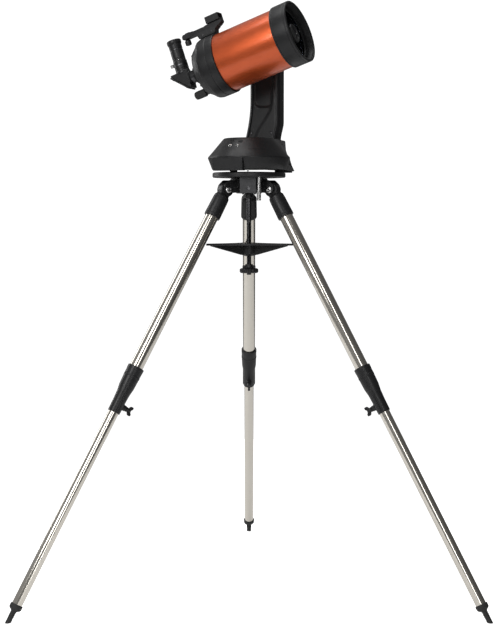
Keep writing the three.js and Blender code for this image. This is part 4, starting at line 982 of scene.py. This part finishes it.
def eyepiece():
    place = Body(TUBE, "eyepiece").at((EYEPIECE_X, 0, 0))
    hoop(place, "eyepiece_barrel", rectangle(13.9, 15.6, 25.2, 51), CHROME, ["eyepiece"])
    hoop(place, "eyepiece_body", [(12, 50.5), (16.4, 50.5), (16.4, 54), (15.7, 54.6), (15.7, 56.2),
        (16.4, 56.8), (16.4, 59.6), (16.4, 76), (15.5, 77), (15.5, 79.6), (16.4, 80.4), (16.4, 90),
        (17.2, 93.2), (18.1, 95), (18.1, 101.6), (17, 102.8), (13.4, 102.9), (10.2, 98.2), (9, 98),
        (9, 90), (12, 88)], BLACK, sides=192, rounding=0.45, wave=flutes(44, 0.55, 59.9, 75.6, 0.6))
    hoop(place, "eyepiece_cap_grip", rectangle(17.9, 18.15, 96.3, 101), RUBBER, sides=192, rounding=0.1,
        wave=flutes(60, 0.3, 96, 101.2))
    hoop(place, "eyepiece_ring", rectangle(15.3, 15.75, 77.4, 79.2), DARK_METAL, rounding=0.1)
    lathe(place, "eye_lens", [(0, 95), (9.2, 95), (9.2, 96.6), (6, 97.3), (0, 97.6)], GLASS, sides=SIDES,
        rounding=1)


def finder():
    """A red-dot finder: a rail on a foot, a hood with its window, and a dial under the back end."""
    rail = OPTICS
    side = rail.along(SIDE_ON)
    outline = [(-153.8, 92.6, 1.5), (-153.8, 100, 2), (-150, 103.8, 2), (-124, 103.8, 3), (-118, 102.4, 3),
        (-90, 102.4, 3), (-84, 103.9, 3), (-41.2, 103.9, 2), (-41.2, 97, 3), (-50, 91.2, 4),
        (-146, 91.2, 2)]
    prism(side, "finder_rail", outline, -9.8, 9.8, BLACK, ["finder_bar"], bevel=1.3, rounding=1.5)
    foot = [(-122, 91.8, 1), (-112, 85, 3), (-109.6, 77.4, 1), (-64.2, 77.4, 1), (-62, 86, 3),
        (-52, 91.8, 1)]
    prism(side, "finder_foot", foot, -11.6, 11.6, CASTING, bevel=1.0, rounding=1)
    prism(side, "finder_shoe", [(-104, 76.2, 1), (-63, 76.2, 1), (-65, 80, 1), (-102, 80, 1)], -14, 14,
        BLACK, bevel=0.8)
    for s in (-98, -74):
        for sign in (-1, 1):
            turn = Matrix.Rotation(math.radians(-90 * sign), 4, "X")
            spot = rail.at((s, sign * 11.5, 84)).along(turn)
            hoop(spot, f"finder_foot_screw_{s}_{sign}", [(0.9, -0.5), (2.2, -0.5), (2.2, 0.4), (0.9, 0.5)],
                DARK_METAL, sides=20, rounding=0.15)
    block(rail, "finder_emitter", (-146, -5.5, 103), (-132, 5.5, 106.5), BLACK_SOFT, bevel=1.2, rounding=2)
    # Hood: a frame with rounded corners, open front and back, and a tilted pane
    profile = rail.along(ALONG_X)
    outer = fillet([(-104.4, -13.9), (-104.4, 13.9), (-121.9, 13.9, 3.2), (-121.9, -13.9, 3.2)], 1, True, 6)
    inner = fillet([(-108, -10.9), (-108, 10.9), (-119, 10.9, 1.8), (-119, -10.9, 1.8)], 0.6, True, 6)
    rings = []
    for loop, s, grow in ((inner, -79.4, 0), (outer, -79.8, -0.8), (outer, -79, 0), (outer, -44, 0),
            (outer, -43.2, -0.8), (inner, -43.6, 0), (inner, -62, 0)):
        centre = Vector((-113.2, 0))
        rings.append([((x - centre.x) * (1 + grow / 14) + centre.x, y * (1 + grow / 14), s) for x,
            y in loop])
    skin(profile, "finder_hood_frame", rings + [rings[0]], BLACK, ["finder_hood"], cap_low=False,
        cap_high=False, sharp=40)
    pane = [((-108.2, -10.7, -62), (-108.2, 10.7, -62), (-118.8, 10.7, -59), (-118.8, -10.7, -59)),
        ((-108.2, -10.7, -60.8), (-108.2, 10.7, -60.8), (-118.8, 10.7, -57.8), (-118.8, -10.7, -57.8))]
    skin(profile, "finder_pane", pane, GLASS)
    for step in range(4):
        s = -75 + 8 * step
        block(rail, f"finder_hood_rib_{step}", (s, -11.5, 121.2), (s + 2.2, 11.5, 121.95), BLACK_SOFT,
            bevel=0.3)
    dial = Body(TUBE, "finder_dial").at((-145, 0, 0))
    lathe(dial, "finder_dial_grip", [(0, 77.2), (6.6, 77.2), (7.8, 78.4), (7.8, 87.4), (6.8, 88.6),
        (4, 90.6), (0, 90.6)], BLACK, ["finder_dial"], LARGE_SIDES, rounding=0.5,
        wave=flutes(22, 0.6, 78.6, 87.2))


def saddle():
    """A dovetail pad that follows the tube, on the shaft that turns in the arm."""
    arc = [(-(24 - 48 * step / 12),
        math.sqrt(72.2 ** 2 - (24 - 48 * step / 12) ** 2)) for step in range(13)]
    prism(AXIAL, "saddle_pad", arc + [(23.8, 83.8, 1.5), (-23.8, 83.8, 1.5)], -44.8, 44.8, CASTING,
        ["saddle"], bevel=0.8)
    shaft = OPTICS.along(ALONG_Y)
    lathe(shaft, "saddle_shaft", rectangle(0, 14.8, 80, 111.8), STEEL, sides=SIDES)
    hoop(shaft, "saddle_washer", [(15, 83.9), (22, 83.9), (23.6, 84.6), (23.6, 86.4), (22, 87.4),
        (15, 87.4)], BLACK_SOFT)
    for s in (-36, 36):
        spot = OPTICS.at((s, 84, 16)).along(ALONG_Y)
        cap_screw(spot, f"saddle_screw_{s}", 3)


tube_and_cells()
glass_and_mirror()
rear_cell()
star_diagonal()
eyepiece()
finder()
saddle()


def dress(node, material):
    """A better finish for a CAD piece that stays as it is."""
    part = frame["nodes"][node]
    part.data.materials.clear()
    part.data.materials.append(material)


for hidden, material in (("azimuth_gear", BRASS), ("altitude_gear", BRASS), ("base_chassis", STEEL),
        ("azimuth_motor", STEEL), ("altitude_motor", STEEL), ("circuit_board", BOARD),
        ("battery_pack", BLACK_SOFT)):
    dress(hidden, material)


# --- Studio ---

def studio():
    """White paper that fades into a white surround; reflections see a darker room with soft boxes."""
    floor_mesh = bpy.data.meshes.new("floor")
    ring = []
    for i in range(96):
        angle = 2 * math.pi * i / 96
        ring.append((PAPER_RADIUS * math.cos(angle), PAPER_RADIUS * math.sin(angle), -0.0006))
    floor_mesh.from_pydata(ring, [], [tuple(range(len(ring)))])
    floor = bpy.data.objects.new("floor", floor_mesh)
    paper, shader = node_material("paper", (0.93, 0.93, 0.93), 0.9)
    shader.inputs["Specular IOR Level"].default_value = 0.0
    shader.inputs["Emission Color"].default_value = (1, 1, 1, 1)
    # The paper glows for the camera, and hardly at all in reflections
    seen = paper.node_tree.nodes.new("ShaderNodeLightPath").outputs["Is Camera Ray"]
    glow = spread(paper, seen, PAPER_GLOW_REFLECTED, PAPER_GLOW, 0, 1)
    link(paper, glow, shader.inputs["Emission Strength"])
    bump(paper, shader, noise(paper, 20), 0.02, 0.001)
    floor_mesh.materials.append(paper)
    bpy.context.collection.objects.link(floor)

    middle = CENTRE + Vector((0, 0, 0.9))
    for name, place, width, height, power in SOFT_BOXES:
        data = bpy.data.lights.new(name, "AREA")
        data.shape = "RECTANGLE"
        data.size, data.size_y, data.energy = width, height, power
        light = bpy.data.objects.new(name, data)
        light.location = middle + Vector(place)
        light.rotation_euler = (-Vector(place)).to_track_quat("-Z", "Y").to_euler()
        bpy.context.collection.objects.link(light)

    world = bpy.data.worlds.new("studio")
    bpy.context.scene.world = world
    world.use_nodes = True
    nodes, links = world.node_tree.nodes, world.node_tree.links
    direction = nodes.new("ShaderNodeSeparateXYZ")
    links.new(nodes.new("ShaderNodeTexCoord").outputs["Generated"], direction.inputs[0])
    product = nodes.new("ShaderNodeMath")
    product.operation = "MULTIPLY"
    links.new(spread(world, direction.outputs["X"], ROOM_LEFT, ROOM_RIGHT, -1, 1), product.inputs[0])
    links.new(spread(world, direction.outputs["Z"], ROOM_LOW, ROOM_HIGH, -0.6, 1), product.inputs[1])
    links.new(product.outputs["Value"], nodes["Background"].inputs["Strength"])
    white = nodes.new("ShaderNodeBackground")
    white.inputs["Strength"].default_value = BACKDROP
    white.inputs["Color"].default_value = (1, 1, 1, 1)
    nodes["Background"].inputs["Color"].default_value = (1, 1, 1, 1)
    choose = nodes.new("ShaderNodeMixShader")
    links.new(nodes.new("ShaderNodeLightPath").outputs["Is Camera Ray"], choose.inputs["Fac"])
    links.new(nodes["Background"].outputs["Background"], choose.inputs[1])
    links.new(white.outputs["Background"], choose.inputs[2])
    links.new(choose.outputs["Shader"], nodes["World Output"].inputs["Surface"])


def camera():
    data = bpy.data.cameras.new("camera")
    data.lens = CAMERA_LENS
    data.sensor_width = 36
    data.clip_end = 100
    eye = bpy.data.objects.new("camera", data)
    eye.location = CENTRE + Vector((0, -CAMERA_DISTANCE, CAMERA_HEIGHT))
    eye.rotation_euler = (math.radians(90) + CAMERA_PITCH, 0, 0)
    bpy.context.collection.objects.link(eye)
    bpy.context.scene.camera = eye


studio()
camera()
bpy.context.scene.view_settings.view_transform = "Standard"
